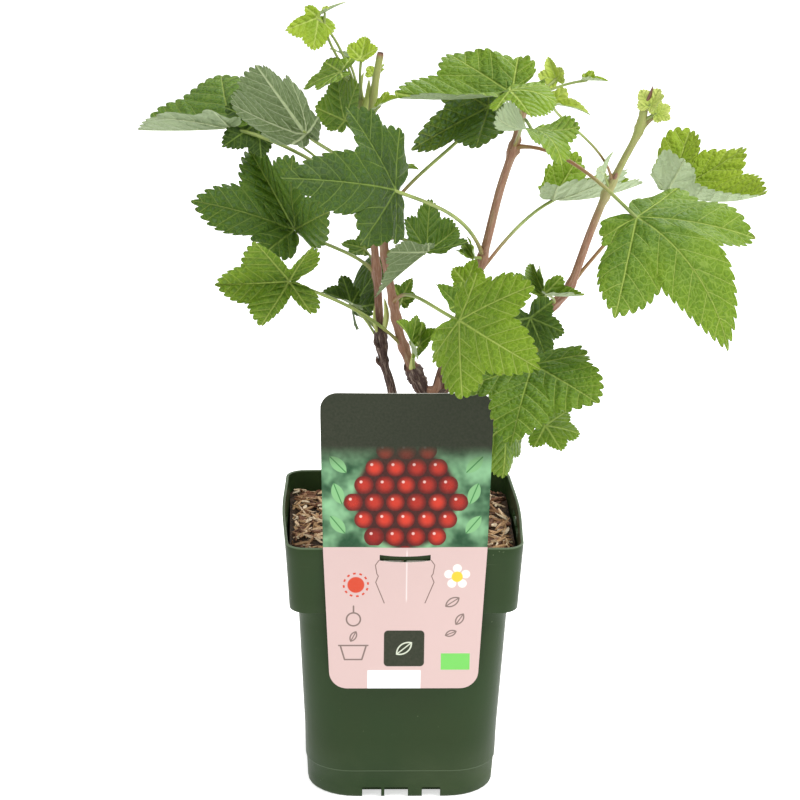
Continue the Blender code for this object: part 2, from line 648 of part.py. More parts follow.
def make_blade(leaf):
    """The blade as a thin closed solid, cut alike on both faces."""
    small = (leaf.tip - leaf.joint).length < SMALL_LEAF
    half = margin_angles((2, 2, 2, 1, 2, 1) if small else (4, 3, 4, 3, 4, 1))
    angles = [-a for a in reversed(half[1:-1])] + half
    count = len(angles)
    top = []
    for n, angle in enumerate(angles):
        tooth = TOOTH * (1 if (n - angles.index(0.0)) % 2 == 0 else -1) * (abs(angle) < 150)
        top.append(blade_point(leaf, angle, margin_reach(leaf, angle) * (1 + tooth)))
    faces = []
    if small:
        top.append(leaf.joint.copy())
        faces = [(count, (i + 1) % count, i) for i in range(count)]
    else:
        inner = range(0, count, 2)
        top += [blade_point(leaf, angles[i], margin_reach(leaf, angles[i]) * INNER_RING) for i in inner]
        hub = len(top)
        top.append(leaf.joint.copy())
        for k, i in enumerate(inner):
            a, b = count + k, count + (k + 1) % len(inner)
            middle, end = i + 1, (i + 2) % count
            faces += [(a, middle, i), (a, b, middle), (middle, b, end), (hub, b, a)]
    shape = bpy.data.meshes.new("shape")
    shape.from_pydata(top, [], faces)
    shape.update()
    under = [p - v.normal * BLADE_THICK for p, v in zip(top, shape.vertices)]
    bpy.data.meshes.remove(shape)
    size = len(top)
    faces += [tuple(size + i for i in reversed(face)) for face in faces]
    for i in range(count):
        j = (i + 1) % count
        faces += [(i, j, size + i), (j, size + j, size + i)]
    return mesh_object("blade_" + leaf.name, top + under, faces)


def make_stalk(stem, leaf):
    """The leaf stalk, from inside the stem to just under the blade's joint."""
    foot, grain = stem_point(stem, leaf.foot)
    length, forward, _, normal = leaf_axes(leaf)
    end = leaf.joint + forward * min(STALK_LAP, 0.12 * length) - normal * STALK_SINK
    straight = (end - foot).normalized()
    reach = (end - foot).length
    leave = foot + (straight + grain * 0.6).normalized() * reach * 0.35
    arrive = end - (straight + forward * 0.5 - normal * 0.25).normalized() * reach * 0.3
    line = []
    for step in range(STALK_STEPS + 1):
        t = step / STALK_STEPS
        line.append(
            foot * (1 - t) ** 3 + leave * 3 * t * (1 - t) ** 2 + arrive * 3 * t * t * (1 - t) + end * t ** 3
        )
    slim = SMALL_STALK if length < SMALL_LEAF else 1.0
    taper = (STALK_JOINT - STALK_FOOT) / STALK_STEPS
    radii = [slim * (STALK_FOOT + taper * i) for i in range(STALK_STEPS + 1)]
    return tube("stalk_" + leaf.name, line, radii, STALK_SIDES)


def make_cane(stem):
    line = smooth_line(stem.points, STEM_STEPS)
    radii = [stem.low + (stem.top - stem.low) * i / (len(line) - 1) for i in range(len(line))]
    return tube("cane_" + stem.name, line, radii, STEM_SIDES)


def make_stem(name, canes, surface):
    """A leafy stem as one solid: its canes with every stalk and blade that grows from them."""
    base = make_cane(canes[0])
    base.name = name
    pieces = [make_cane(stem) for stem in canes[1:]]
    for stem in canes:
        if stem.stub:
            points = smooth_line([Vector(p) for p in stem.stub], STEM_STEPS)
            pieces.append(tube("stub", points, [stem.top] * len(points), STEM_SIDES))
        for leaf in stem.leaves:
            pieces += [make_stalk(stem, leaf), make_blade(leaf)]
    merge(base, pieces, "UNION", "MANIFOLD")
    finish(base, surface)
    return base


def main():
    clear_scene()
    make_pot(material("pot_plastic", (0.045, 0.10, 0.035), 0.38))
    make_soil(material("soil_mix", (0.20, 0.12, 0.07), 0.95))
    make_label(material("label_card", (0.80, 0.62, 0.55), 0.35))
    green = material("leaf_green", (0.12, 0.30, 0.04), 0.45)
    for name, canes in STEMS.items():
        make_stem(name, canes, green)


main()
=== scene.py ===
"""The finished look of a young redcurrant bush in a square nursery pot, with a hang label.

Places are in millimetres where a name ends in nothing else, and MM turns them into metres.
+Z is up, the label faces -Y, and the origin is the middle of the pot's underside.
"""

import math
import random

import bpy
import numpy as np
from mathutils import Matrix, Vector


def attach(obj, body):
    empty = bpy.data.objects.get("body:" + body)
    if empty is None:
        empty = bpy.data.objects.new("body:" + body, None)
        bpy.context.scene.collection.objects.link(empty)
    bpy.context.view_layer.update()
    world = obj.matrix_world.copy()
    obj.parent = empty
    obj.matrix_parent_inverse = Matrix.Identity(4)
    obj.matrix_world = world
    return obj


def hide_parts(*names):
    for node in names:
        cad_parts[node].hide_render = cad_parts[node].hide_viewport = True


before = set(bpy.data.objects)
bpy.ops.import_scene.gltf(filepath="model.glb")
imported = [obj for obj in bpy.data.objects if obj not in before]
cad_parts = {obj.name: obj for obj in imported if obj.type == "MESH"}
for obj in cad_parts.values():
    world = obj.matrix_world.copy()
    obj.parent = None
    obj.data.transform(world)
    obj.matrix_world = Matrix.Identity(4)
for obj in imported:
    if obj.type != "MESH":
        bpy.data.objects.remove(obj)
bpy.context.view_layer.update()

MM = 0.001


# The pot: a square tapered nursery pot of green polypropylene, injection moulded in one piece.
# A wider collar with thin, slightly bowed walls stands on the body, and a fine moulding line runs
# round the foot. Each side has a slot for a label under the rim and a drainage notch at the foot.
class Wire:
    """A socket of a finish's nodes. Sums and products of wires add the Math nodes they need."""

    def __init__(self, finish, socket):
        self.finish = finish
        self.socket = socket

    def maths(self, operation, *others):
        return self.finish.node("Math", {"operation": operation}, self, *others)

    def __add__(self, other):
        return self.maths("ADD", other)

    def __mul__(self, other):
        return self.maths("MULTIPLY", other)

    def __sub__(self, other):
        return self.maths("SUBTRACT", other)

    def __rsub__(self, other):
        return self.finish.node("Math", {"operation": "SUBTRACT"}, other, self)

    def __truediv__(self, other):
        return self.maths("DIVIDE", other)

    def __rtruediv__(self, other):
        return self.finish.node("Math", {"operation": "DIVIDE"}, other, self)

    def __pow__(self, other):
        return self.maths("POWER", other)

    def __gt__(self, other):
        return self.maths("GREATER_THAN", other)

    def __lt__(self, other):
        return self.maths("LESS_THAN", other)

    def __abs__(self):
        return self.maths("ABSOLUTE")

    __radd__ = __add__
    __rmul__ = __mul__

    def between(self, low, high):
        """0 below low and 1 above high, with a smooth rise; high may be the lower of the two."""
        return self.finish.node(
            "MapRange", {"interpolation_type": "SMOOTHSTEP"}, self, low, high, 0.0, 1.0
        )

    def either(self, other):
        return self.maths("MAXIMUM", other)

    def both(self, other):
        return self.maths("MINIMUM", other)


class Finish:
    """One material, made node by node."""

    def __init__(self, name):
        self.material = bpy.data.materials.new(name)
        self.material.use_nodes = True
        self.tree = self.material.node_tree
        self.shader = self.tree.nodes["Principled BSDF"]

    def feed(self, socket, value):
        if isinstance(value, Wire):
            self.tree.links.new(value.socket, socket)
        else:
            socket.default_value = value

    def node(self, kind, settings, *values, output=0, **named):
        """A new node: its settings first, then values or wires for its sockets."""
        made = self.tree.nodes.new("ShaderNode" + kind)
        for key, value in settings.items():
            setattr(made, key, value)
        sockets = [socket for socket in made.inputs if socket.enabled]
        for socket, value in zip(sockets, values):
            self.feed(socket, value)
        for name, value in named.items():
            self.feed(made.inputs[name.replace("_", " ")], value)
        return Wire(self, [socket for socket in made.outputs if socket.enabled][output])

    def mix(self, share, first, second):
        return self.node("Mix", {"data_type": "RGBA"}, share, first, second)

    def noise(self, place, scale, detail=2.0, rough=0.5):
        return self.node("TexNoise", {}, Vector=place, Scale=scale, Detail=detail, Roughness=rough)

    def place(self):
        return self.node("TexCoord", {}, output=3)

    def parts(self, vector):
        made = self.node("SeparateXYZ", {}, vector).socket.node
        return [Wire(self, socket) for socket in made.outputs]

    def attribute(self, name):
        return self.node("Attribute", {"attribute_name": name}, output=1)

    def stretched(self, vector, factors):
        return self.node("VectorMath", {"operation": "MULTIPLY"}, vector, factors)

    def bump(self, height, strength, distance):
        made = self.node("Bump", {}, Height=height, Strength=strength, Distance=distance)
        self.wear(Normal=made)

    def wear(self, **sockets):
        for name, value in sockets.items():
            self.feed(self.shader.inputs[name.replace("_", " ")], value)


def tint(code):
    """A colour from its hex code, as Blender's linear red, green, blue and alpha."""
    channels = [int(code[i:i + 2], 16) / 255 for i in (0, 2, 4)]
    linear = [c / 12.92 if c <= 0.04045 else ((c + 0.055) / 1.055) ** 2.4 for c in channels]
    return (*linear, 1.0)


def make_piece(name, points, faces, finishes, nodes=(), indices=None, smooth=35):
    """A piece from points in millimetres, riding on the part's one body."""
    mesh = bpy.data.meshes.new(name)
    mesh.from_pydata((np.asarray(points, float) * MM).tolist(), [], faces)
    for finish in finishes:
        mesh.materials.append(finish.material)
    if indices is not None:
        mesh.polygons.foreach_set("material_index", indices)
    mesh.validate()
    if smooth:
        mesh.shade_smooth()
        mesh.set_sharp_from_angle(angle=math.radians(smooth))
    piece = bpy.data.objects.new(name, mesh)
    bpy.context.scene.collection.objects.link(piece)
    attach(piece, "root")
    if nodes:
        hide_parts(*nodes)
    return piece


def cut(piece, cutters):
    """Cuts plain boxes or tubes out of a piece, and removes them."""
    group = bpy.data.collections.new(piece.name + "_cutters")
    bpy.context.scene.collection.children.link(group)
    for cutter in cutters:
        bpy.context.scene.collection.objects.unlink(cutter)
        group.objects.link(cutter)
    boolean = piece.modifiers.new("cut", "BOOLEAN")
    boolean.operation = "DIFFERENCE"
    boolean.operand_type = "COLLECTION"
    boolean.collection = group
    bpy.context.view_layer.update()
    finished = piece.evaluated_get(bpy.context.evaluated_depsgraph_get())
    done = bpy.data.meshes.new_from_object(finished)
    piece.modifiers.clear()
    piece.data = done
    for cutter in cutters:
        bpy.data.objects.remove(cutter)
    bpy.data.collections.remove(group)


RIM_Z = 130.0
RIM_HALF = 55.0
RIM_EDGE = 0.45
COLLAR_Z = 97.0
COLLAR_FOOT_HALF = 53.0
COLLAR_CORNER = 9.0
COLLAR_FOOT_BOW = 0.45
SHOULDER_HALF = 48.8
SHOULDER_CORNER = 12.0
FOOT_HALF = 44.1
FOOT_CORNER = 23.0
WALL = 1.3
FLOOR_RISE = 5.5
FLOOR_TOP = 6.9
LINE_Z = 13.9
SLOT_SPANS = ((-15.0, -0.7), (0.7, 15.0))
SLOT_LOW = 120.2
SLOT_HIGH = 124.0
NOTCH_SPANS = ((-18.5, -9.5), (-8.0, 3.2), (9.8, 18.5))
NOTCH_HIGH = 5.1
SKIRT_SPANS = ((-36.0, 4.2), (9.8, 30.5))
SKIRT_FRONT_Y = -36.0
SKIRT_BACK_Y = -34.7
SKIRT_HIGH = 5.45
CORNER_STEPS = 8
SIDE_STEPS = 12
# How far the middle of a side stands out at the rim: right, back, left and front.
RIM_BOWS = (1.7, 1.6, 1.7, 0.0)


def part_way(low, high, share):
    return low + (high - low) * share


def pot_ring(half, corner, z, bow):
    """Points round the pot at one height, anticlockwise, its sides bowed by a share of RIM_BOWS."""
    ring = []
    reach = half - corner
    for quarter, side_bow in enumerate(RIM_BOWS):
        turn = quarter * math.pi / 2
        ahead = math.cos(turn), math.sin(turn)
        side = -math.sin(turn), math.cos(turn)
        for step in range(SIDE_STEPS):
            along = -reach + 2 * reach * step / SIDE_STEPS
            out = half + side_bow * bow * math.cos(along / half * math.pi / 2) ** 2
            ring.append((ahead[0] * out + side[0] * along, ahead[1] * out + side[1] * along, z))
        cx, cy = ahead[0] * reach + side[0] * reach, ahead[1] * reach + side[1] * reach
        for step in range(CORNER_STEPS):
            angle = turn + step / CORNER_STEPS * math.pi / 2
            ring.append((cx + corner * math.cos(angle), cy + corner * math.sin(angle), z))
    return ring


def body_ring(z, inset=0.0):
    share = z / COLLAR_Z
    half = part_way(FOOT_HALF, SHOULDER_HALF, share)
    corner = part_way(FOOT_CORNER, SHOULDER_CORNER, share)
    return pot_ring(half - inset, corner - inset, z, share / 2)


def collar_ring(z, inset=0.0):
    share = (z - COLLAR_Z) / (RIM_Z - COLLAR_Z)
    half = part_way(COLLAR_FOOT_HALF, RIM_HALF, share)
    bow = part_way(COLLAR_FOOT_BOW, 1.0, share)
    return pot_ring(half - inset, COLLAR_CORNER - inset, z, bow)


def skin(rings):
    """Faces through rings of equal length, closed with a cap at each end."""
    count = len(rings[0])
    faces = [tuple(reversed(range(count)))]
    for level in range(len(rings) - 1):
        low = level * count
        for i in range(count):
            j = (i + 1) % count
            faces.append((low + i, low + j, low + count + j, low + count + i))
    faces.append(tuple(range((len(rings) - 1) * count, len(rings) * count)))
    return [p for ring in rings for p in ring], faces


def bar(name, low, high, quarter=0):
    """A plain box, given for the front side and turned to one of the four sides."""
    (x0, y0, z0), (x1, y1, z1) = low, high
    for _ in range(quarter):
        x0, y0, x1, y1 = -y1, x0, -y0, x1
    points = [(x, y, z) for z in (z0, z1) for x, y in ((x0, y0), (x1, y0), (x1, y1), (x0, y1))]
    faces = [(3, 2, 1, 0), (4, 5, 6, 7)]
    faces += [(k, (k + 1) % 4, (k + 1) % 4 + 4, k + 4) for k in range(4)]
    mesh = bpy.data.meshes.new(name)
    mesh.from_pydata([Vector(p) * MM for p in points], [], faces)
    made = bpy.data.objects.new(name, mesh)
    bpy.context.scene.collection.objects.link(made)
    return made


def pot_plastic():
    """Satin green plastic: fine grain, a painted highlight along the rim and the moulding line, a few
    scuffs, and dust low down.
    """
    plastic = Finish("pot_plastic")
    place = plastic.place()
    height = plastic.parts(place)[2] * (1 / MM)
    cloud = plastic.noise(place, 28, 3)
    scratches = plastic.noise(plastic.stretched(place, (22.0, 22.0, 900.0)), 1.0, 3, 0.6)
    where = plastic.noise(place, 55, 2).between(0.55, 0.62)
    scuff = scratches.between(0.66, 0.74) * where
    specks = plastic.noise(place, 900, 1).between(0.78, 0.82)
    dust = height.between(30, 0) * cloud.between(0.35, 0.75)
    # Painted highlight: the rim's edge and the moulding line are painted pale, as where they catch the
    # light.
    line = abs(height - LINE_Z).between(0.45, 0.2)
    edge = height.between(RIM_Z - 0.9, RIM_Z - 0.2).either(line * 0.45)
    worn = (scuff * 0.4).either(specks * 0.5).either(dust * 0.12)
    colour = plastic.mix(cloud.between(0.3, 0.7) * 0.35, tint("25391a"), tint("2c381b"))
    colour = plastic.mix(edge * 0.5, colour, tint("75866a"))
    colour = plastic.mix(worn, colour, tint("84926f"))
    plastic.wear(Base_Color=colour, Roughness=0.38 + cloud * 0.12 + scuff * 0.25 + dust * 0.2)
    plastic.wear(Specular_IOR_Level=0.17)
    grain = plastic.noise(place, 2600, 2)
    plastic.bump(grain * 0.5 + cloud * 0.8 - scuff * 0.8, 0.35, 0.0003)
    return plastic


def make_pot():
    """The shell runs from its floor's underside over the foot, body and collar, and down inside."""
    foot = [(FLOOR_RISE, WALL), (0.3, WALL + 0.7), (0.0, 1.2), (0.0, 0.9), (0.5, 0.3)]
    line = [(LINE_Z - 0.35, 0.0), (LINE_Z, -0.3), (LINE_Z + 0.3, -0.45)]
    body = [(z, 0.0) for z in (30, 50, 70, 88, COLLAR_Z - 0.8)]
    collar = [(COLLAR_Z, RIM_EDGE), (COLLAR_Z + 0.15, 0.12), (COLLAR_Z + RIM_EDGE, 0.0)]
    collar += [(z, 0.0) for z in (103, 110, 118, 124, RIM_Z - 0.5)]
    rim = [(RIM_Z - 0.12, 0.15), (RIM_Z, RIM_EDGE), (RIM_Z, WALL - 0.35), (RIM_Z - 0.3, WALL)]
    inside = [(z, WALL) for z in (122, 112, 103, COLLAR_Z + WALL)]
    outer = foot + [(1.6, 0.0), (6.0, 0.0)] + line + body + [(COLLAR_Z, -0.5)]
    rings = [body_ring(z, inset) for z, inset in outer]
    rings += [collar_ring(z, inset) for z, inset in collar + rim + inside]
    rings += [body_ring(z, WALL) for z in (COLLAR_Z + WALL, FLOOR_TOP)]
    points, faces = skin(rings)
    plastic = [pot_plastic()]
    pot = make_piece("nursery_pot", points, faces, plastic, ["pot"], smooth=0)
    cutters = []
    for quarter in range(4):
        for x0, x1 in SLOT_SPANS:
            low, high = (x0, -RIM_HALF - 4, SLOT_LOW), (x1, -RIM_HALF + 6, SLOT_HIGH)
            cutters.append(bar("slot", low, high, quarter))
        for x0, x1 in NOTCH_SPANS:
            low, high = (x0, -RIM_HALF, -1), (x1, SKIRT_FRONT_Y, NOTCH_HIGH)
            cutters.append(bar("notch", low, high, quarter))
    cut(pot, cutters)
    pot.data.shade_smooth()
    pot.data.set_sharp_from_angle(angle=math.radians(40))


def make_inner_skirt():
    """Low walls behind the drainage notches, under the floor."""
    points, faces = [], []
    for quarter in range(4):
        for x0, x1 in SKIRT_SPANS:
            strip = bar("strip", (x0, SKIRT_FRONT_Y, 0), (x1, SKIRT_BACK_Y, SKIRT_HIGH), quarter)
            first = len(points)
            points += [tuple(v.co / MM) for v in strip.data.vertices]
            faces += [tuple(first + i for i in p.vertices) for p in strip.data.polygons]
            bpy.data.objects.remove(strip)
    make_piece("pot_inner_skirt", points, faces, [pot_plastic()], smooth=30)


make_pot()
make_inner_skirt()


# The growing mix: dark peat with reddish bark chips, crumbs and pale coir and straw fibres, filled
# to a little under the rim and slightly heaped round the stems.
def make_peat():
    peat = Finish("peat")
    place = peat.place()
    coarse = peat.noise(place, 160, 4, 0.7)
    fine = peat.noise(place, 900, 3, 0.7)
    colour = peat.mix(coarse.between(0.3, 0.7), tint("1c130d"), tint("4a3524"))
    colour = peat.mix(fine.between(0.56, 0.72) * 0.7, colour, tint("7a5c40"))
    peat.wear(Base_Color=colour, Roughness=0.95)
    peat.bump(coarse + fine * 0.6, 1.0, 0.0012)
    return peat


def make_bark_chip():
    bark = Finish("bark_chip")
    place = bark.place()
    seed = bark.parts(bark.attribute("draw"))[0]
    grain = bark.noise(bark.stretched(place, (500.0, 500.0, 1400.0)), 1.0, 3, 0.6)
    colour = bark.mix(seed, tint("2a1810"), tint("744830"))
    colour = bark.mix(grain.between(0.35, 0.7) * 0.6, colour, tint("a5775a"))
    bark.wear(Base_Color=colour, Roughness=0.85)
    bark.bump(grain, 0.8, 0.0006)
    return bark


def make_fibre():
    fibre = Finish("straw_fibre")
    seed = fibre.parts(fibre.attribute("draw"))[0]
    grain = fibre.noise(fibre.place(), 700, 2)
    colour = fibre.mix(seed.between(0.0, 0.5), tint("7c5334"), tint("c9a276"))
    colour = fibre.mix(seed.between(0.5, 1.0), colour, tint("f3e1c3"))
    colour = fibre.mix(grain.between(0.5, 0.7) * 0.3, colour, tint("6a4a30"))
    fibre.wear(Base_Color=colour, Roughness=0.75)
    return fibre


SOIL_EDGE_Z = 119.5
SOIL_FOOT_Z = 100.0
SOIL_HALF = 53.0
SOIL_CORNER = 7.6
SOIL_CORNER_MIDDLE = 45.5
SOIL_RISE = 3.6
SOIL_STEP = 1.1
SOIL_REACH = 51.8
CHIPS = 260
FIBRES = 900
CRUMBS = 420


def soil_height(x, y):
    """The mix's top: level at the wall and heaped a little in the middle, with lumps."""
    share = max(abs(x), abs(y)) / SOIL_HALF
    heap = SOIL_RISE * min(1.0, 1.35 * (1 - share)) * 0.9
    along = math.sin(x * 0.31 + 1.3 * math.sin(y * 0.21))
    lumps = 0.9 * along * math.cos(y * 0.27 + 0.8 * math.sin(x * 0.17))
    fine = 0.45 * math.sin(x * 1.13 + y * 0.71) * math.sin(y * 1.37 - x * 0.53)
    return SOIL_EDGE_Z + heap + lumps + fine


def in_pot(x, y):
    """The nearest place inside the round corners of the collar's inside."""
    corner = max(0.0, abs(x) - SOIL_CORNER_MIDDLE), max(0.0, abs(y) - SOIL_CORNER_MIDDLE)
    reach = math.hypot(*corner)
    if reach > SOIL_CORNER:
        x -= math.copysign(corner[0] * (1 - SOIL_CORNER / reach), x)
        y -= math.copysign(corner[1] * (1 - SOIL_CORNER / reach), y)
    return x, y


def make_bed(draw):
    """The rough top of the mix, with sloping sides under it and a flat foot."""
    count = int(2 * SOIL_HALF / SOIL_STEP)
    steps = [-SOIL_HALF + 2 * SOIL_HALF * i / count for i in range(count + 1)]
    grid = []
    for step_y in steps:
        for step_x in steps:
            x, y = in_pot(step_x, step_y)
            grid.append((x, y, soil_height(x, y) + draw.uniform(-0.28, 0.28)))
    rows = [range(j * (count + 1), (j + 1) * (count + 1)) for j in range(count + 1)]
    faces = [
        (rows[j][i], rows[j][i + 1], rows[j + 1][i + 1], rows[j + 1][i])
        for j in range(count) for i in range(count)
    ]
    edge = [*rows[0], *[r[-1] for r in rows[1:]], *rows[-1][-2::-1], *[r[0] for r in rows[-2:0:-1]]]
    first = len(grid)
    grid += [(grid[i][0] * 0.9, grid[i][1] * 0.9, SOIL_FOOT_Z) for i in edge]
    for k in range(len(edge)):
        n = (k + 1) % len(edge)
        faces.append((edge[n], edge[k], first + k, first + n))
    faces.append(tuple(reversed(range(first, first + len(edge)))))
    make_piece("peat_mix", grid, faces, [make_peat()], ["soil"], smooth=60)


class Heap:
    """Loose bits of one kind, gathered as one piece with a random draw from 0 to 1 for each bit."""

    def __init__(self):
        self.points, self.faces, self.draws = [], [], []

    def add(self, points, faces, draw):
        first = len(self.points)
        self.points += [tuple(p) for p in points]
        self.faces += [tuple(first + i for i in face) for face in faces]
        self.draws += [draw] * len(points)

    def make(self, name, finish, slot, nodes=(), smooth=35):
        piece = make_piece(name, self.points, self.faces, [finish], nodes, smooth=smooth)
        data = piece.data.attributes.new("draw", "FLOAT_VECTOR", "POINT")
        data.data.foreach_set("vector", np.repeat(np.asarray(self.draws, np.float32), 3))
        return piece


def add_chip(chips, draw):
    """A flat flake or a narrow splinter of bark, with 5 to 7 sides and bevelled edges."""
    x, y = draw.uniform(-50, 50), draw.uniform(-50, 50)
    flat = draw.random() < 0.55
    length = draw.uniform(4, 13) if flat else draw.uniform(6, 14)
    length = min(length, 2.0 * (52.5 - max(abs(x), abs(y))) + 2)
    wide, thick = (draw.uniform(2.2, 6), draw.uniform(0.9, 2)) if flat else (1.8, 1.4)
    pose = Matrix.Rotation(draw.uniform(0, 2 * math.pi), 3, "Z")
    pose = pose @ Matrix.Rotation(draw.uniform(-0.35, 0.35), 3, "Y")
    pose = pose @ Matrix.Rotation(draw.uniform(-0.4, 0.4), 3, "X")
    middle = Vector((x, y, soil_height(x, y) + draw.uniform(-0.2, 0.9)))
    sides = draw.randint(5, 7)
    outline = []
    for k in range(sides):
        angle = 2 * math.pi * (k + draw.uniform(-0.25, 0.25)) / sides
        reach = length / 2 * draw.uniform(0.75, 1)
        outline.append((math.cos(angle) * reach, math.sin(angle) * wide / 2))
    rings = [
        [middle + pose @ Vector((a * shrink, b * shrink, z * thick)) for a, b in outline]
        for z, shrink in ((-0.5, 0.85), (-0.25, 1.0), (0.25, 1.0), (0.5, 0.85))
    ]
    chips.add(*skin(rings), draw.random())


def add_fibre(fibres, draw):
    """A slightly bent sliver of straw, pointed at one end, that lies on the mix."""
    x, y = draw.uniform(-50.5, 50.5), draw.uniform(-50.5, 50.5)
    turn, length = draw.uniform(0, 2 * math.pi), draw.uniform(4, 12)
    wide = draw.uniform(0.25, 1.1)
    bend, tilt = draw.uniform(-0.25, 0.25), draw.uniform(-0.6, 0.6)
    line = []
    for k in range(4):
        along = length * (k / 3 - 0.5)
        angle = turn + bend * (k / 3 - 0.5)
        px = max(-SOIL_REACH, min(SOIL_REACH, x + math.cos(angle) * along))
        py = max(-SOIL_REACH, min(SOIL_REACH, y + math.sin(angle) * along))
        rise = soil_height(x, y) + math.sin(tilt) * along + 0.9
        line.append(Vector((px, py, max(rise, soil_height(px, py)))))
    fibres.add(*tube(line, [wide * w for w in (0.5, 1.0, 0.9, 0.3)], 4), draw.random())


def add_crumb(crumbs, draw):
    """An uneven eight-sided crumb."""
    x, y = draw.uniform(-51, 51), draw.uniform(-51, 51)
    size = draw.uniform(0.5, 1.5)
    middle = Vector((x, y, soil_height(x, y) + 0.2 * size))
    tips = ((0, 0, -1), (1, 0, 0), (0, 1, 0), (-1, 0, 0), (0, -1, 0), (0, 0, 1))
    points = [middle + Vector(tip) * size * draw.uniform(0.7, 1.1) for tip in tips]
    belt = ((1, 2), (2, 3), (3, 4), (4, 1))
    faces = [(0, b, a) for a, b in belt] + [(5, a, b) for a, b in belt]
    crumbs.add(points, faces, draw.random() * 0.6)


def tube(line, radii, sides, lumps=None):
    """Points and faces of a closed tube along a line, with a radius at each point."""
    line = [Vector(p) for p in line]
    rings = []
    across = None
    for i, centre in enumerate(line):
        ahead = (line[min(i + 1, len(line) - 1)] - line[max(i - 1, 0)]).normalized()
        start = across if across else Vector((0, 1, 0)) if abs(ahead.y) < 0.9 else Vector((1, 0, 0))
        across = (start - ahead * start.dot(ahead)).normalized()
        other = ahead.cross(across)
        ring = []
        for side in range(sides):
            angle = 2 * math.pi * side / sides
            radius = radii[i] * (1 + (lumps(i, angle) if lumps else 0))
            ring.append(centre + (across * math.cos(angle) + other * math.sin(angle)) * radius)
        rings.append(ring)
    return skin(rings)


def make_soil():
    draw = random.Random(5)
    make_bed(draw)
    chips, fibres, crumbs = Heap(), Heap(), Heap()
    for _ in range(CHIPS):
        add_chip(chips, draw)
    for _ in range(FIBRES):
        add_fibre(fibres, draw)
    for _ in range(CRUMBS):
        add_crumb(crumbs, draw)
    bark = make_bark_chip()
    chips.make("bark_chips", bark, "growing_mix", smooth=30)
    crumbs.make("bark_crumbs", bark, "growing_mix", smooth=0)
    fibres.make("straw_fibres", make_fibre(), "growing_mix", smooth=60)


make_soil()


# The label: a stiff printed plastic card, die-cut with a window and a tongue that hooks into the
# pot's slot. The print is plain: a dark band, a green panel with round red fruits, and a pale foot.
LABEL_TOP_Z = 205.0
LABEL_FOOT_Z = 61.0
LABEL_BEND_Z = 129.0
LABEL_TOP_HALF = 39.4
LABEL_BEND_HALF = 37.6
LABEL_FOOT_HALF = 34.2
LABEL_CORNER = 8.0
LABEL_THICK = 0.5
LABEL_BACK_Y = -55.5
WINDOW_HALF = 11.7
WINDOW_LOW = 124.4
WINDOW_HIGH = 127.4
PANEL_TOP_Z = 180.0
PANEL_FOOT_Z = 131.0


def label_half(z):
    """Half the card's width at a height, with its round corners."""
    if z > LABEL_BEND_Z:
        share = (z - LABEL_BEND_Z) / (LABEL_TOP_Z - LABEL_BEND_Z)
        half = part_way(LABEL_BEND_HALF, LABEL_TOP_HALF, share)
    else:
        share = (z - LABEL_FOOT_Z) / (LABEL_BEND_Z - LABEL_FOOT_Z)
        half = part_way(LABEL_FOOT_HALF, LABEL_BEND_HALF, share)
    into = max(0.0, LABEL_CORNER - min(z - LABEL_FOOT_Z, LABEL_TOP_Z - z))
    return half - LABEL_CORNER + math.sqrt(max(0.0, LABEL_CORNER ** 2 - into ** 2))


def card_back(x, z):
    """How far back the card's back face lies: it bulges forward a little over its window."""
    bulge = 0.9 * math.exp(-((z - 130.5) / 4.5) ** 2 - (x / 15) ** 4)
    lean = 0.012 * max(0.0, z - RIM_Z)
    curl = 0.0009 * x * x * max(0.0, (z - 150) / 55)
    return LABEL_BACK_Y - bulge - lean + curl * 0.6


class Print:
    """Plain marks on the card, each a mask from 0 to 1 over the card's width x and height z."""

    def __init__(self, x, z):
        self.x = x
        self.z = z

    def away(self, cx, cz):
        return ((self.x - cx) ** 2 + (self.z - cz) ** 2) ** 0.5

    def disc(self, cx, cz, radius):
        return self.away(cx, cz).between(radius + 0.25, radius - 0.25)

    def ring(self, cx, cz, radius, width=0.28):
        return abs(self.away(cx, cz) - radius).between(width + 0.2, width)

    def block(self, cx, cz, wide, high):
        """An upright block, given by half its width and half its height."""
        across = abs(self.x - cx).between(wide + 0.1, wide - 0.1)
        return across * abs(self.z - cz).between(high + 0.1, high - 0.1)

    def line(self, corners, outer=0.48, inner=0.28):
        """A line from corner to corner."""
        whole = 0.0
        for (ax, az), (bx, bz) in zip(corners, corners[1:]):
            length = math.hypot(bx - ax, bz - az)
            dx, dz = (bx - ax) / length, (bz - az) / length
            along = ((self.x - ax) * dx + (self.z - az) * dz).either(0.0).both(length)
            stretch = self.away(along * dx + ax, along * dz + az).between(outer, inner)
            whole = stretch.either(whole)
        return whole

    def leaf(self, cx, cz, size, turn):
        """A pointed oval, which is what two round discs share, with its midrib and its outline."""
        apart = size * 0.75
        edge = size * 1.25
        ux, uz = math.cos(turn), math.sin(turn)
        first = self.away(cx - uz * apart, cz + ux * apart)
        widest = first.either(self.away(cx + uz * apart, cz - ux * apart))
        inside = widest.between(edge + 0.2, edge - 0.2)
        rib = abs((self.x - cx) * -uz + (self.z - cz) * ux).between(0.4, 0.15)
        return inside, inside * rib, abs(widest - edge).between(0.45, 0.2)


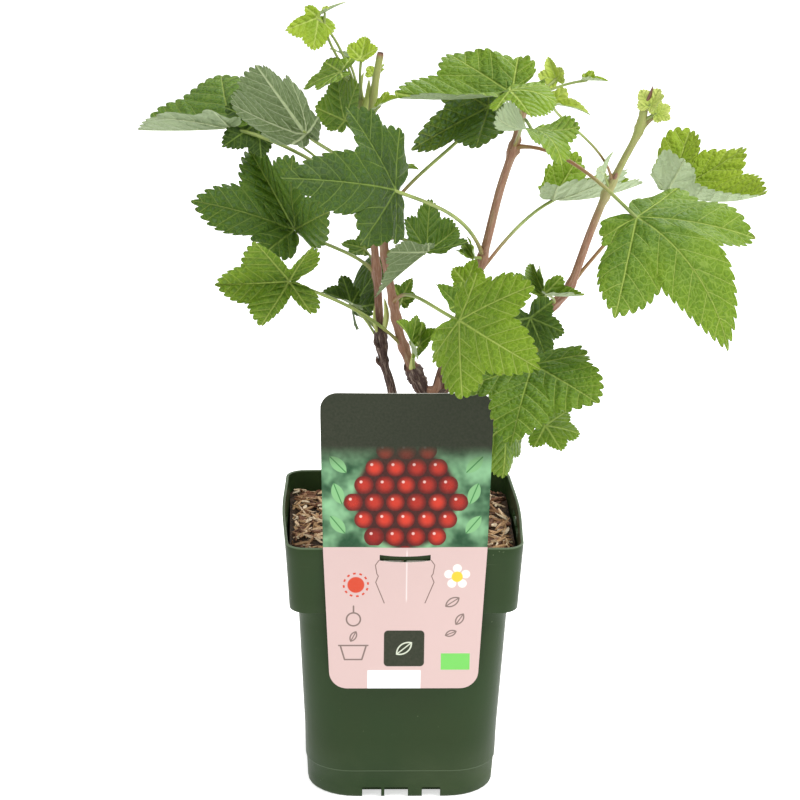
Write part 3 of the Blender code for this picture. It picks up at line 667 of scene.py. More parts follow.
FRUIT_PITCH = 9.6
FRUIT_ROW = FRUIT_PITCH * 0.87
CLUSTER_Z = 155
PANEL_LEAVES = ((142, 0.9), (157, 1.2), (171, 0.8))
DARK_BAND = "222b1c"
SUN = (-22.5, 112.5)
FLOWER = (24.0, 116.5)
PETAL_REACH = 4.1
ROUND_FRUIT = (-23.5, 95.5)
BOWL = ((-29.5, 82.5), (-27.5, 75.5), (-19.5, 75.5), (-17.5, 82.5))
BOWL_EDGE = ((-30.2, 82.5), (-16.8, 82.5))
DRAWN_LEAVES = (
    (-23.5, 87.0, 2.6, 1.1), (22, 104, 3.6, 0.6), (25.5, 95.5, 3.0, 1.0), (21.5, 88.5, 2.6, 0.4),
)
SQUARE_Z = 81.0
SQUARE_FLAT = (7.4, 7.0)
TONGUE_CUT = (
    (12.0, 124.6), (13.6, 122.2), (12.9, 117.9), (12.2, 116.8), (13.4, 113.8), (9.4, 103.6),
)


def fruit_panel(card, marks, x, z):
    """Shining red fruits in rows within an oval, on a soft green ground with a few pale leaves."""
    row = (z - PANEL_FOOT_Z - 1.0) / FRUIT_ROW
    shift = (row.maths("FLOOR") * 0.5).maths("FRACT")
    side = ((x / FRUIT_PITCH + shift + 50).maths("FRACT") - 0.5) * FRUIT_PITCH
    rise = (row.maths("FRACT") - 0.5) * FRUIT_ROW
    middle_x, middle_z = x - side, z - rise
    oval = (middle_x / 27) ** 2 + ((middle_z - CLUSTER_Z) / 28) ** 2
    chance = ((middle_x * 12.9 + middle_z * 78.2).maths("SINE") * 437.5).maths("FRACT")
    away = (side ** 2 + rise ** 2) ** 0.5
    fruit = (away - (chance * 0.5 + 4.1)).between(0.15, -0.1) * oval.between(1.01, 1.0)
    shine = ((side + 1.3) ** 2 + (rise - 1.5) ** 2) ** 0.5
    berry = card.mix(chance, tint("d23a26"), tint("8e1a14"))
    berry = card.mix(away.between(1.0, 4.6), berry, tint("5c0f0d"))
    berry = card.mix(shine.between(0.9, 0.4) * 0.7, berry, tint("f6d9d0"))
    clouds = card.noise(card.place(), 55, 3, 0.6).between(0.35, 0.68)
    ground = ((x / 25) ** 2 + ((z - CLUSTER_Z) / 26) ** 2).between(1.0, 0.75)
    panel = card.mix(clouds, tint("17482b"), tint("86b98b"))
    panel = card.mix(ground, panel, tint("3d1411"))
    panel = card.mix(fruit, panel, berry)
    for sign in (-1, 1):
        for leaf_z, turn in PANEL_LEAVES:
            turn = turn if sign > 0 else math.pi - turn
            inside, rib, _ = marks.leaf(sign * 31, leaf_z, 5.4, turn)
            panel = card.mix(inside, panel, tint("7fb57c"))
            panel = card.mix(rib, panel, tint("3f7f47"))
    return card.mix(1 - z.between(PANEL_TOP_Z + 1, PANEL_TOP_Z - 12), panel, tint(DARK_BAND))


def small_marks(card, marks, colour):
    """The pale foot's marks: a dark square, two plain blocks, a sun, a flower, line drawings."""
    flat_x, flat_z = abs(marks.x) - SQUARE_FLAT[0], abs(marks.z - SQUARE_Z) - SQUARE_FLAT[1]
    corner = (flat_x.either(0.0) ** 2 + flat_z.either(0.0) ** 2) ** 0.5
    square = corner.between(2.1, 1.8).both(flat_x.either(flat_z).either(0.0).between(2.2, 1.9))
    colour = card.mix(square, colour, tint("272f20"))
    _, rib, outline = marks.leaf(0, SQUARE_Z, 4.4, 0.7)
    colour = card.mix(outline.either(rib) * 0.8, colour, tint("dfe6d0"))
    colour = card.mix(marks.block(23.8, 74.4, 6.7, 4.1), colour, tint("72c75e"))
    colour = card.mix(marks.block(-4.5, 62.6, 12.3, 7.5), colour, tint("f4f4f6"))
    around = (marks.z - SUN[1]).maths("ARCTAN2", marks.x - SUN[0])
    rays = marks.ring(*SUN, 5.6, 0.35) * ((around * 12).maths("SINE") > 0.2)
    colour = card.mix(marks.disc(*SUN, 3.9).either(rays), colour, tint("c8452c"))
    petals = 0.0
    for k in range(5):
        turn = math.radians(90 - 72 * k)
        cx, cz = FLOWER[0] + PETAL_REACH * math.cos(turn), FLOWER[1] + PETAL_REACH * math.sin(turn)
        petals = marks.disc(cx, cz, 2.0).either(petals)
    colour = card.mix(petals, colour, tint("f6efe8"))
    colour = card.mix(marks.disc(*FLOWER, 2.6), colour, tint("e9c23c"))
    cx, cz = ROUND_FRUIT
    ink = marks.ring(cx, cz, 3.2).either(marks.line(((cx, cz + 3.2), (cx, cz + 6.5))))
    ink = ink.either(marks.line(BOWL)).either(marks.line(BOWL_EDGE))
    for place in DRAWN_LEAVES:
        _, rib, outline = marks.leaf(*place)
        ink = ink.either(outline).either(rib)
    return card.mix(ink * 0.75, colour, tint("4d4136"))


def printed_card():
    card = Finish("printed_card")
    x, _, z = card.parts(card.place())
    x, z = x * (1 / MM), z * (1 / MM)
    marks = Print(x, z)
    paper = card.noise(card.place(), 900, 2)
    panel = fruit_panel(card, marks, x, z)
    above_foot = z.between(PANEL_FOOT_Z - 0.15, PANEL_FOOT_Z + 0.15)
    above_panel = z.between(PANEL_TOP_Z - 0.3, PANEL_TOP_Z + 0.3)
    colour = card.mix(above_foot, tint("cdb3af"), panel)
    colour = card.mix(above_panel, colour, tint(DARK_BAND))
    colour = small_marks(card, marks, colour)
    cutline = Print(abs(x), z).line(TONGUE_CUT, 0.32, 0.12)
    colour = card.mix(cutline * 0.8, colour, tint("5d4a40"))
    # Painted highlight: a faint white line down the middle of the card's tongue, where the bent card
    # catches the light.
    painted_bend_highlight = abs(x - 0.8).between(0.5, 0.1) * z.between(103, 106) * z.between(131, 128)
    colour = card.mix(painted_bend_highlight * 0.35, colour, tint("ffffff"))
    colour = card.mix(paper * 0.06, colour, tint("b8a59a"))
    card.wear(Base_Color=colour, Roughness=0.42 + paper * 0.1, Specular_IOR_Level=0.14)
    card.bump(paper * 0.3 - cutline * 1.5, 0.4, 0.0002)
    return card


def plain_card():
    card = Finish("card_back")
    paper = card.noise(card.place(), 700, 2)
    card.wear(Base_Color=card.mix(paper, tint("e9e6e0"), tint("d9d5cd")), Roughness=0.5)
    card.bump(paper, 0.3, 0.0001)
    return card


def label_heights():
    """The heights of the card's rows of points, close together in its corners and at its window."""
    turns = [k * math.pi / 18 for k in range(10)]
    heights = [LABEL_FOOT_Z + LABEL_CORNER * (1 - math.cos(turn)) for turn in turns[:9]]
    heights += [LABEL_FOOT_Z + LABEL_CORNER + k * 2.4 for k in range(22)]
    heights += [121.0, 122.6, WINDOW_LOW, 125.4, 126.4, WINDOW_HIGH, 128.2]
    heights += [129.0, 130.0, 131.0, 132.0, 134.0]
    heights += [136.0 + k * 3.05 for k in range(20)]
    heights += [LABEL_TOP_Z - LABEL_CORNER * (1 - math.sin(turn)) for turn in turns[1:]]
    return sorted(set(round(h, 3) for h in heights))


def label_rows(heights):
    """The card's points, and for its back and its front the rows of their numbers."""
    inner = [k / 8 * WINDOW_HALF for k in range(-8, 9)]
    points, layers = [], []
    for thick in (0.0, LABEL_THICK):
        layer = []
        for z in heights:
            half = label_half(z)
            outer = [part_way(WINDOW_HALF, half, k / 12) for k in range(1, 13)]
            near = WINDOW_LOW - 2 < z < WINDOW_HIGH + 2
            row = []
            for x in [-x for x in reversed(outer)] + inner + outer:
                dip = 0.8 * max(0.0, 1 - (x / WINDOW_HALF) ** 2) if near else 0.0
                row.append(len(points))
                points.append((x, card_back(x, z) - thick, z - dip))
            layer.append(row)
        layers.append(layer)
    return points, *layers


def make_label():
    heights = label_heights()
    points, back, front = label_rows(heights)
    faces, kinds = [], []

    def solid(i, j):
        """Whether the cell is card, and not the window or past the card's edge."""
        if not (0 <= i < len(back[0]) - 1 and 0 <= j < len(heights) - 1):
            return False
        across = abs(points[back[j][i]][0] + points[back[j][i + 1]][0]) / 2
        middle = (heights[j] + heights[j + 1]) / 2
        return across >= WINDOW_HALF or not WINDOW_LOW < middle < WINDOW_HIGH

    for j in range(len(heights) - 1):
        for i in range(len(back[0]) - 1):
            if not solid(i, j):
                continue
            corners = ((j, i), (j, i + 1), (j + 1, i + 1), (j + 1, i))
            faces.append(tuple(front[a][b] for a, b in corners))
            faces.append(tuple(back[a][b] for a, b in (corners[0], *reversed(corners[1:]))))
            kinds += [0, 1]
            sides = ((i - 1, j, 3, 0), (i + 1, j, 1, 2), (i, j - 1, 0, 1), (i, j + 1, 2, 3))
            for beside, above, start, end in sides:
                if not solid(beside, above):
                    (ja, ia), (jb, ib) = corners[start], corners[end]
                    faces.append((front[ja][ia], back[ja][ia], back[jb][ib], front[jb][ib]))
                    kinds.append(1)
    printed, plain = printed_card(), plain_card()
    make_piece("hang_label", points, faces, [printed, plain], ["label"], kinds)
    make_tongue(plain)


TONGUE_CORNERS = ((-9.8, -0.2), (-9.8, 0.2), (9.8, 0.2), (9.8, -0.2))
TONGUE_LINE = ((-0.3, 121.8), (2.5, 121.7), (5.0, 121.8), (5.6, 122.3), (5.7, 123.3))


def make_tongue(plain):
    """The card's tongue, bent up behind the pot's wall."""
    rings = [
        [(x, LABEL_BACK_Y + back, z + side) for x, side in TONGUE_CORNERS]
        for back, z in TONGUE_LINE
    ]
    points, faces = skin(rings)
    make_piece("label_tongue", points, faces, [plain])


make_label()


# The plant: two stems stand in the mix, one plain and one forked low down in three branches.
# Old wood is grey-brown and streaked, young wood reddish to green, with swellings and buds where
# leaves leave it. Each cane is one tapered tube, each leaf stalk a thin one with a widened foot.
LOBE_ANGLE = 53
BASAL_ANGLE = 109
NOTCH_ANGLE = 27
CLEFT_ANGLE = 83
HEEL_ANGLE = 158
LOBE = 0.90
NOTCH = 0.70
CLEFT = 0.56
BASAL = 0.55
HEEL = 0.16
JOINT_EDGE = 0.07
FULL = 0.70
HOLLOW = 1.7
DEEP = 0.3
FOLD_WIDTH = 0.04
SMALL_LEAF = 22.0


class Leaf:
    """One leaf: where its stalk leaves the stem, its joint with the blade, and how the blade lies.

    foot is the height on the stem. joint and tip are the two ends of the midrib.
    roll turns the blade about the midrib from upper face up, fold lifts both halves, in degrees.
    droop arches the midrib, and cup curls both halves up.
    left and right scale the side lobes as seen from above.
    notch, cleft and basal are the margin's reach at those places, and full is how far the lobes
    bulge between them (less is fuller), for the left and the right half.
    """

    def __init__(self, name, foot, joint, tip, roll=0, fold=12, droop=0.3, left=1.0, right=1.0,
                 notch=(NOTCH, NOTCH), cleft=(CLEFT, CLEFT), basal=(BASAL, BASAL), full=(FULL, FULL),
                 cup=0.0):
        self.name = name
        self.foot = foot
        self.joint = Vector(joint)
        self.tip = Vector(tip)
        self.roll = roll
        self.fold = fold
        self.droop = droop
        self.left = left
        self.right = right
        self.full = full
        self.cup = cup
        self.margins = [
            ((0, 1.0), (NOTCH_ANGLE, notch[side]), (LOBE_ANGLE, LOBE), (CLEFT_ANGLE, cleft[side]),
             (BASAL_ANGLE, basal[side]), (HEEL_ANGLE, HEEL), (180, JOINT_EDGE))
            for side in (0, 1)
        ]


class Stem:
    """One woody stem: the points it grows through, its radius at both ends, and its leaves."""

    def __init__(self, name, points, low, top, leaves, stub=None):
        self.name = name
        self.points = [Vector(p) for p in points]
        self.low = low
        self.top = top
        self.leaves = leaves
        self.stub = stub


LEFT_STEM = Stem(
    "left_stem",
    [(-2, 2, 92), (-2, 2, 125), (-3, 2, 170), (-5, 2, 187), (-7, 3, 195), (-9, 3, 202), (-11, 5, 219),
     (-12, 6, 235), (-14, 8, 259), (-17, 9, 285), (-19, 9, 306), (-20, 8, 318), (-21, 6, 327)],
    2.4, 1.5,
    [
        Leaf("tip", 325, (-40, 10, 363), (-55, 4, 358), -70, 15, 0.3, 1.1, 0.55, basal=(0.5, 0.3)),
        Leaf("tip_wing", 324, (-38, 10, 365), (-28, 10, 370), 0, 30, 0.2, 0.45, 0.45),
        Leaf("bright_cup", 322, (-21, -10, 348), (-19, -5, 357), 3, 26, -0.15, 0.95, 0.95,
             (0.75, 0.75), (0.6, 0.4), (0.25, 0.25), (0.4, 0.4), cup=-0.4),
        Leaf("sliver", 324, (-27, 14, 344), (-35, 8, 349), 0, 10, 0.3, 0.8, 0.8),
        Leaf("under_tip", 318, (-30, -5, 341), (-47, 1, 332), -20, 5, 0.3, 0.85, 0.95),
        Leaf("dark_upright", 304, (-28, -3, 318), (-31, 8, 337), -68, 7, 0.35, 1.0, 1.05,
             (0.8, 0.8), basal=(0.3, 0.3)),
        Leaf("upturned", 283, (-46, -40, 320), (-67, -55, 353), 77, 52, 0.0, 0.75, 0.97,
             (0.8, 0.85), (0.56, 0.63), (0.63, 0.23), (0.8, 0.3), cup=0.2),
        Leaf("far_left", 274, (-80, 15, 311), (-124, 48, 303), -3, 37, -0.15, 0.75, 1.1,
             (0.62, 0.79), full=(0.4, 0.9), cup=-0.3),
        Leaf("shade_far", 270, (-68, 20, 312), (-84, 8, 303), -60, 10, 0.3, 0.9, 0.9, basal=(0.4, 0.4)),
        Leaf("lower_left", 243, (-51, 5, 265), (-72, 30, 297), -55, 61, 0.0, 1.2, 0.9,
             (0.6, 0.7), (0.45, 0.58), (0.4, 0.85), (1.0, 0.55), cup=-0.35),
        Leaf("shade_back", 214, (-23, 25, 221), (-15, 50, 239), -60, -25, 0.85, 0.8, 1.0,
             basal=(0.45, 0.45)),
        Leaf("shade_left", 208, (-24, 16, 226), (-38, 8, 234), -30, 35, 0.3, 0.9, 0.9),
        Leaf("small_left", 246, (-18, 16, 253), (-29, 22, 254), -30, 10, 0.2, 0.8, 0.8),
    ],
)
TRUNK = Stem(
    "trunk",
    [(7, 0, 92), (7, 0, 125), (8, 1, 148), (11, 2, 170), (14, 3, 181), (15, 4, 188)],
    4.3, 3.6,
    [],
)
CENTRE_BRANCH = Stem(
    "centre_branch",
    [(13, 2, 178), (10, 0, 187), (6, 0, 196), (2, 0, 205), (-2, -1, 217),
     (-5, -2, 232), (-8, -3, 248), (-10, -4, 262), (-13, -2, 290), (-16, -1, 318), (-12, 0, 349)],
    2.5, 1.6,
    [
        Leaf("front_left", 210, (-53, -35, 251), (-86, -38, 250), -78, 42, 0.4, 1.0, 1.05,
             (0.7, 0.75), (0.25, 0.2), (0.6, 0.62)),
        Leaf("front_large", 232, (22, -70, 243), (55, -99, 230), 63, -7, 0.7, 0.9, 0.85, full=(0.8, 0.8)),
        Leaf("middle_upper", 262, (11, 9, 254), (26, 28, 260), 30, 40, -0.3, 1.1, 0.85, basal=(0.7, 0.3)),
        Leaf("middle_hanging", 255, (10, -18, 261), (-14, -23, 241), 27, 20, 0.1, 0.85, 0.8,
             (0.75, 0.75), (0.35, 0.55), (0.2, 0.3), cup=0.3),
        Leaf("bud_right", 316, (-13, -8, 326), (-4, -13, 331), 20, 20, 0.3, 0.8, 0.8),
        Leaf("bud_high", 330, (-15, 7, 337), (-10, 13, 341), 0, 20, 0.3, 0.8, 0.8),
        Leaf("tiny_upper", 285, (-2, 4, 294), (6, 0, 295), 0, 10, 0.3, 0.9, 0.9),
        Leaf("tiny_behind", 224, (-1, 6, 231), (4, 8, 241), 40, 10, 0.3, 0.8, 0.8),
        Leaf("young_low_left", 196, (3, -18, 217), (-4, -26, 230), -60, 25, 0.5, 0.9, 0.9),
        Leaf("young_low_right", 199, (7, -12, 214), (16, -18, 223), 50, 20, 0.3, 0.9, 0.9),
        Leaf("quilted", 270, (38, 5, 323), (3, -3, 305), -54, 45, 0.3, 0.95, 0.75,
             cleft=(0.7, 0.55), basal=(0.4, 0.5)),
    ],
)
TALL_BRANCH = Stem(
    "tall_branch",
    [(14, 3, 180), (17, 5, 191), (23, 8, 211), (31, 10, 235), (37, 10, 251),
     (44, 8, 283), (50, 6, 304), (53, 4, 320), (56, 2, 328)],
    2.4, 1.7,
    [
        Leaf("big_left", 251, (-6, -45, 296), (-56, -78, 309), -72, -9, 0.8, 0.58, 0.76,
             (0.7, 0.63), (0.57, 0.6), (0.67, 0.64), (0.35, 0.9)),
        Leaf("top_large", 322, (47, -14, 334), (-5, -20, 334), -9, 33, -0.35, 0.83, 0.8,
             (0.65, 0.8), (0.45, 0.6), cup=-0.3),
        Leaf("top_light", 318, (44, -45, 341), (64, -51, 337), 13, -13, 0.8, 1.05, 1.15,
             (0.7, 0.9), (0.5, 0.3)),
        Leaf("near_top", 304, (51, -77, 331), (63, -95, 320), -10, -9, 1.1, 1.0, 1.25,
             cleft=(0.6, 0.7), full=(0.5, 0.95), cup=0.65),
        Leaf("big_right", 304, (102, -45, 284), (141, -73, 232), 28, -14, 1.3, 0.8, 0.83,
             (0.65, 0.65), (0.65, 0.35), (0.6, 0.3), (0.75, 1.0)),
        Leaf("back_lit", 238, (72, 45, 270), (116, 60, 275), 10, 48, -0.5, 0.7, 0.9,
             (0.6, 0.7), basal=(0.3, 0.45)),
        Leaf("curl", 249, (32, 0, 253), (28, 20, 255), -40, 65, -0.35, 0.55, 0.6),
        Leaf("low_upright", 234, (29, -8, 242), (33, -2, 253), -10, 15, 0.3, 1.0, 1.0),
        Leaf("low_small", 226, (24, -14, 234), (14, -18, 245), -60, 30, 0.3, 0.8, 0.8),
        Leaf("wing_up", 327, (69, 8, 335), (65, 12, 345), -60, 30, 0.3, 0.9, 0.7),
        Leaf("wing_out", 325, (82, 4, 336), (92, 2, 336), 20, 55, 0.1, 0.6, 0.6),
    ],
)
RIGHT_BRANCH = Stem(
    "right_branch",
    [(13, 3, 182), (24, 9, 190), (38, 16, 200), (56, 22, 211), (73, 26, 224),
     (80, 26, 233), (88, 24, 258), (95, 22, 278), (102, 20, 294), (109, 18, 310), (111, 17, 323)],
    2.5, 1.5,
    [
        Leaf("frill", 284, (64, -21, 330), (81, -28, 327), 20, 40, 0.5, 0.6, 0.6),
        Leaf("side_bud", 280, (93, 14, 289), (96, 10, 301), 30, 20, 0.3, 0.8, 0.8),
        Leaf("crown_left", 318, (113, 14, 322), (118, 19, 329), 0, 20, 0.3, 1.1, 1.0),
        Leaf("crown_right", 313, (116, 15, 318), (123, 18, 321), 60, 20, 0.4, 1.0, 1.0),
        Leaf("far_right", 233, (125, 30, 278), (164, -14, 287), -7, 55, -0.5, 0.75, 0.62,
             (0.8, 0.6), (0.5, 0.65), (0.8, 0.35), (0.6, 1.0)),
        Leaf("curved_dark", 214, (58, -14, 228), (66, -9, 208), 114, 38, 0.55, 0.9, 1.05,
             basal=(0.75, 0.65), full=(0.4, 0.65)),
        Leaf("low_left_wing", 221, (67, 21, 230), (62, 45, 238), -40, 65, -0.1, 0.75, 0.6,
             basal=(0.35, 0.4)),
        Leaf("low_right_wing", 223, (66, 3, 235), (85, 10, 233), 32, 55, -0.5, 0.65, 0.75,
             basal=(0.2, 0.45)),
        Leaf("front_low", 203, (56, -60, 220), (44, -101, 195), 3, 5, 0.35, 0.97, 0.83, basal=(0.5, 0.55)),
        Leaf("lowest_right", 199, (65, -30, 181), (81, -30, 177), 35, -10, 0.4, 1.05, 0.95,
             basal=(0.5, 0.8), full=(0.7, 0.3)),
        Leaf("lowest", 197, (46, -34, 183), (45, -39, 159), -50, -9, 0.3, 0.95, 1.1,
             basal=(0.75, 0.6), full=(0.5, 0.6), cup=-0.3),
    ],
    stub=[(108, 18, 308), (113, 19, 314), (120, 20, 319)],
)
STEMS = {
    "left_stem": (LEFT_STEM,),
    "forked_stem": (TRUNK, CENTRE_BRANCH, TALL_BRANCH, RIGHT_BRANCH),
}


def smooth_line(points, steps):
    """A Catmull-Rom line through the points, with steps pieces between each two."""
    line = []
    for i in range(len(points) - 1):
        before = points[max(i - 1, 0)]
        after = points[min(i + 2, len(points) - 1)]
        a, b = points[i], points[i + 1]
        for step in range(steps):
            t = step / steps
            line.append(
                0.5 * (2 * a + (b - before) * t + (2 * before - 5 * a + 4 * b - after) * t * t
                       + (3 * a - before - 3 * b + after) * t ** 3)
            )
    line.append(points[-1])
    return line


def stem_point(stem, z):
    """The point on a stem's line at a height, and the line's direction there."""
    line = smooth_line(stem.points, 4)
    for a, b in zip(line, line[1:]):
        if a.z <= z <= b.z:
            return a.lerp(b, (z - a.z) / (b.z - a.z)), (b - a).normalized()
    return line[-1].copy(), (line[-1] - line[-2]).normalized()


def leaf_axes(leaf):
    """The blade's length and its forward, sideways and upward directions."""
    forward = (leaf.tip - leaf.joint).normalized()
    up = (Vector((0, 0, 1)) - forward * forward.z).normalized()
    turn = math.radians(leaf.roll)
    normal = up * math.cos(turn) + forward.cross(up) * math.sin(turn)
    return (leaf.tip - leaf.joint).length, forward, forward.cross(normal), normal


class Growth(Heap):
    """Tubes of wood or stalk. Each point keeps its place along and round its tube, and its age."""

    def __init__(self):
        super().__init__()
        self.grain = []

    def grow(self, line, radii, sides, ages, lumps=None):
        points, faces = tube(line, radii, sides, lumps)
        self.add(points, faces, 0.0)
        along = 0.0
        for i, age in enumerate(ages):
            along += (Vector(line[i]) - Vector(line[i - 1])).length if i else 0.0
            for side in range(sides):
                angle = 2 * math.pi * side / sides
                self.grain.append((math.cos(angle), math.sin(angle), along))
                self.draws[len(self.grain) - 1] = age

    def make(self, name, finish, slot, nodes=(), smooth=50):
        piece = super().make(name, finish, slot, nodes, smooth)
        data = piece.data.attributes.new("grain", "FLOAT_VECTOR", "POINT")
        data.data.foreach_set("vector", np.asarray(self.grain, np.float32).ravel())
        return piece


def bark():
    """Currant bark, streaked along the cane: green shoots, then red-brown, then grey-brown."""
    wood = Finish("cane_bark")
    age = wood.parts(wood.attribute("draw"))[0]
    grain = wood.attribute("grain")
    streaks = wood.noise(wood.stretched(grain, (3.2, 3.2, 0.16)), 1.0, 4, 0.65)
    blotches = wood.noise(wood.stretched(grain, (0.9, 0.9, 0.09)), 1.0, 2)
    spots = wood.noise(wood.stretched(grain, (5.0, 5.0, 0.9)), 1.0, 1).between(0.66, 0.76)
    aged = age + (blotches - 0.5) * 0.35
    colour = wood.mix(aged.between(-0.3, 0.0), tint("c6d07c"), tint("9aa558"))
    colour = wood.mix(aged.between(0.0, 0.3), colour, tint("94885a"))
    colour = wood.mix(aged.between(0.25, 0.5), colour, tint("926951"))
    colour = wood.mix(aged.between(0.55, 0.8), colour, tint("6a4433"))
    colour = wood.mix(aged.between(0.8, 1.0), colour, tint("402c27"))
    colour = wood.mix(streaks.between(0.48, 0.7) * (age * 0.4 + 0.3), colour, tint("ab988a"))
    colour = wood.mix((1 - streaks).between(0.5, 0.7) * age * 0.7, colour, tint("2f211a"))
    colour = wood.mix(spots * 0.35, colour, tint("c9b08d"))
    wood.wear(Base_Color=colour, Roughness=0.5 + age * 0.3)
    wood.bump(streaks + spots * 0.4, 0.25 + age * 0.6, 0.0005)
    return wood


def stalk_skin():
    """Green leaf stalk, finely grooved along, reddish toward its foot."""
    skin = Finish("leaf_stalk")
    age = skin.parts(skin.attribute("draw"))[0]
    grain = skin.attribute("grain")
    lines = skin.noise(skin.stretched(grain, (2.2, 2.2, 0.05)), 1.0, 2)
    clouds = skin.noise(skin.stretched(grain, (0.4, 0.4, 0.06)), 1.0, 2)
    colour = skin.mix(clouds.between(0.35, 0.65), tint("6f8238"), tint("94a355"))
    colour = skin.mix((age + clouds * 0.5).between(0.75, 1.2), colour, tint("86603c"))
    colour = skin.mix(lines.between(0.5, 0.7) * 0.35, colour, tint("bcc57e"))
    skin.wear(Base_Color=colour, Roughness=0.45)
    skin.bump(lines, 0.5, 0.0003)
    return skin


# How old the wood is at heights along each stem: 0 is a green shoot, 1 old bark.
AGES = {
    "left_stem": ((187, 1.0), (216, 1.0), (224, 0.75), (245, 0.62), (262, 0.35), (327, 0.12)),
    "trunk": ((92, 1.0), (188, 1.0)),
    "centre_branch": (
        (187, 1.0), (199, 1.0), (203, 0.45), (245, 0.6), (262, 0.4), (300, 0.15),
        (347, 0.05), (349, 0.9),
    ),
    "tall_branch": ((180, 1.0), (200, 0.7), (240, 0.5), (328, 0.42)),
    "right_branch": ((182, 0.9), (215, 0.7), (255, 0.52), (280, 0.2), (323, 0.03)),
}
# Knots: the height, how much they swell the cane, and how far they reach along it.
KNOTS = {
    "left_stem": ((213, 0.45, 5), (202, 0.25, 2)),
    "trunk": ((183, 0.3, 6),),
    "centre_branch": ((193, 0.6, 6), (198, 0.3, 1.5)),
    "tall_branch": ((302, 0.3, 3),),
    "right_branch": ((310, 0.45, 4), (277, 0.3, 2.5)),
}
# Green sheaths and bud scales on the canes: foot, middle and tip, radius and age.
SCALES = (
    ("left_stem", (-9, 3, 217), (-8, 1, 225), (-9, 2, 233), 1.4, -0.1),
    ("left_stem", (-12, 3, 215), (-13.6, 2, 222), (-13.6, 3, 229), 0.9, -0.1),
    ("left_stem", (-10, 2, 208), (-13, 1, 211), (-13.6, 1, 214), 0.9, 1.0),
    ("left_stem", (-9, 2, 199), (-12, 2, 202), (-12.2, 2, 205), 0.9, 0.95),
    ("left_stem", (-19, 6, 318), (-17.5, 4, 327), (-17, 3, 336), 1.6, -0.3),
    ("left_stem", (-19, 6, 322), (-21, 5, 331), (-19.5, 4, 339), 1.2, -0.3),
    ("forked_stem", (4, 0, 197), (1.2, -1, 199), (0.6, -1, 202), 0.9, 1.0),
    ("forked_stem", (10, 0, 189), (15.2, -3, 190), (16.5, -4, 196.5), 2.2, 0.62),
    ("forked_stem", (12, 0, 187), (17.5, -3, 188.5), (20, -4, 190), 1.3, 1.0),
    ("forked_stem", (3, -1, 197), (4.2, -3, 203), (4.6, -3, 210), 1.3, -0.2),
    ("forked_stem", (111, 17, 321), (113, 16.5, 326), (114.4, 16, 331), 0.9, 0.75),
)
CANE_SIDES = 20
STALK_SIDES = 10
STALK_STEPS = 16
BUD_SIZE = 1.5
BUD_AGE = 0.62
STUB_AGE = 0.3


def near(place, middle, reach):
    """1 at the middle, falling off to almost 0 at twice the reach from it."""
    return math.exp(-((place - middle) / reach) ** 2)


def grow_cane(growth, stem):
    """One tapered tube, swollen where leaves leave it and at its knots, rough where it is old."""
    line = smooth_line(stem.points, 12)
    heights, marks = zip(*AGES[stem.name])
    knots = KNOTS[stem.name]
    radii, ages = [], []
    for i, point in enumerate(line):
        joints = sum(near(point.z, leaf.foot, 2.6) for leaf in stem.leaves)
        bulges = sum(bulge * near(point.z, z, reach) for z, bulge, reach in knots)
        radius = part_way(stem.low, stem.top, i / (len(line) - 1))
        radii.append(radius * (1 + 0.3 * min(1.2, joints) + bulges))
        ages.append(float(np.interp(point.z, heights, marks)))
    radii[0] *= 0.9
    radii[-1] *= 0.8

    def lumps(i, angle):
        z = line[i].z
        rough = 0.03 * math.sin(3 * angle + z * 0.11) + 0.025 * math.sin(7 * angle + z * 0.07)
        flakes = 0.05 * math.sin(z * 0.55 + 2 * angle) * math.sin(z * 0.23)
        knot = min(1.0, sum(near(z, middle, reach) for middle, _, reach in knots))
        ridge = 0.14 * knot * math.sin(z * 2.1 + angle) * math.sin(2 * angle + z * 0.9)
        return (rough + flakes) * ages[i] + ridge

    growth.grow(line, radii, CANE_SIDES, ages, lumps)


def grow_bud(growth, stem, z, turn, size):
    """A small pointed brown bud lying against the cane."""
    foot, ahead = stem_point(stem, z)
    out = Vector((math.cos(turn), math.sin(turn), 0))
    out = (out - ahead * out.dot(ahead)).normalized()
    foot = foot + out * stem.top * 0.63
    bows = (0.0, 0.22, 0.42, 0.5, 0.5, 0.45, 0.4)
    rises = (-0.2, 0.2, 0.8, 1.4, 1.9, 2.3, 2.5)
    line = [foot + out * size * bow + ahead * size * rise for bow, rise in zip(bows, rises)]
    radii = [size * share for share in (0.3, 0.6, 0.66, 0.6, 0.42, 0.2, 0.04)]
    growth.grow(line, radii, STALK_SIDES, [BUD_AGE] * len(line))


def grow_scale(growth, places, radius, age):
    """A short sheath or scale, widest in its middle and pointed at its tip."""
    line = smooth_line([Vector(p) for p in places], 6)
    turns = [math.pi * (0.2 + 0.78 * i / (len(line) - 1)) for i in range(len(line))]
    radii = [radius * math.sin(turn) for turn in turns]
    growth.grow(line, radii, STALK_SIDES, [age] * len(line))


def grow_stub(growth, stem):
    """The short cut-off end of a side shoot."""
    line = smooth_line([Vector(p) for p in stem.stub], 8)
    radii = [stem.top * (1.05 - 0.1 * i / len(line)) for i in range(len(line))]
    growth.grow(line, radii, CANE_SIDES, [STUB_AGE] * len(line))


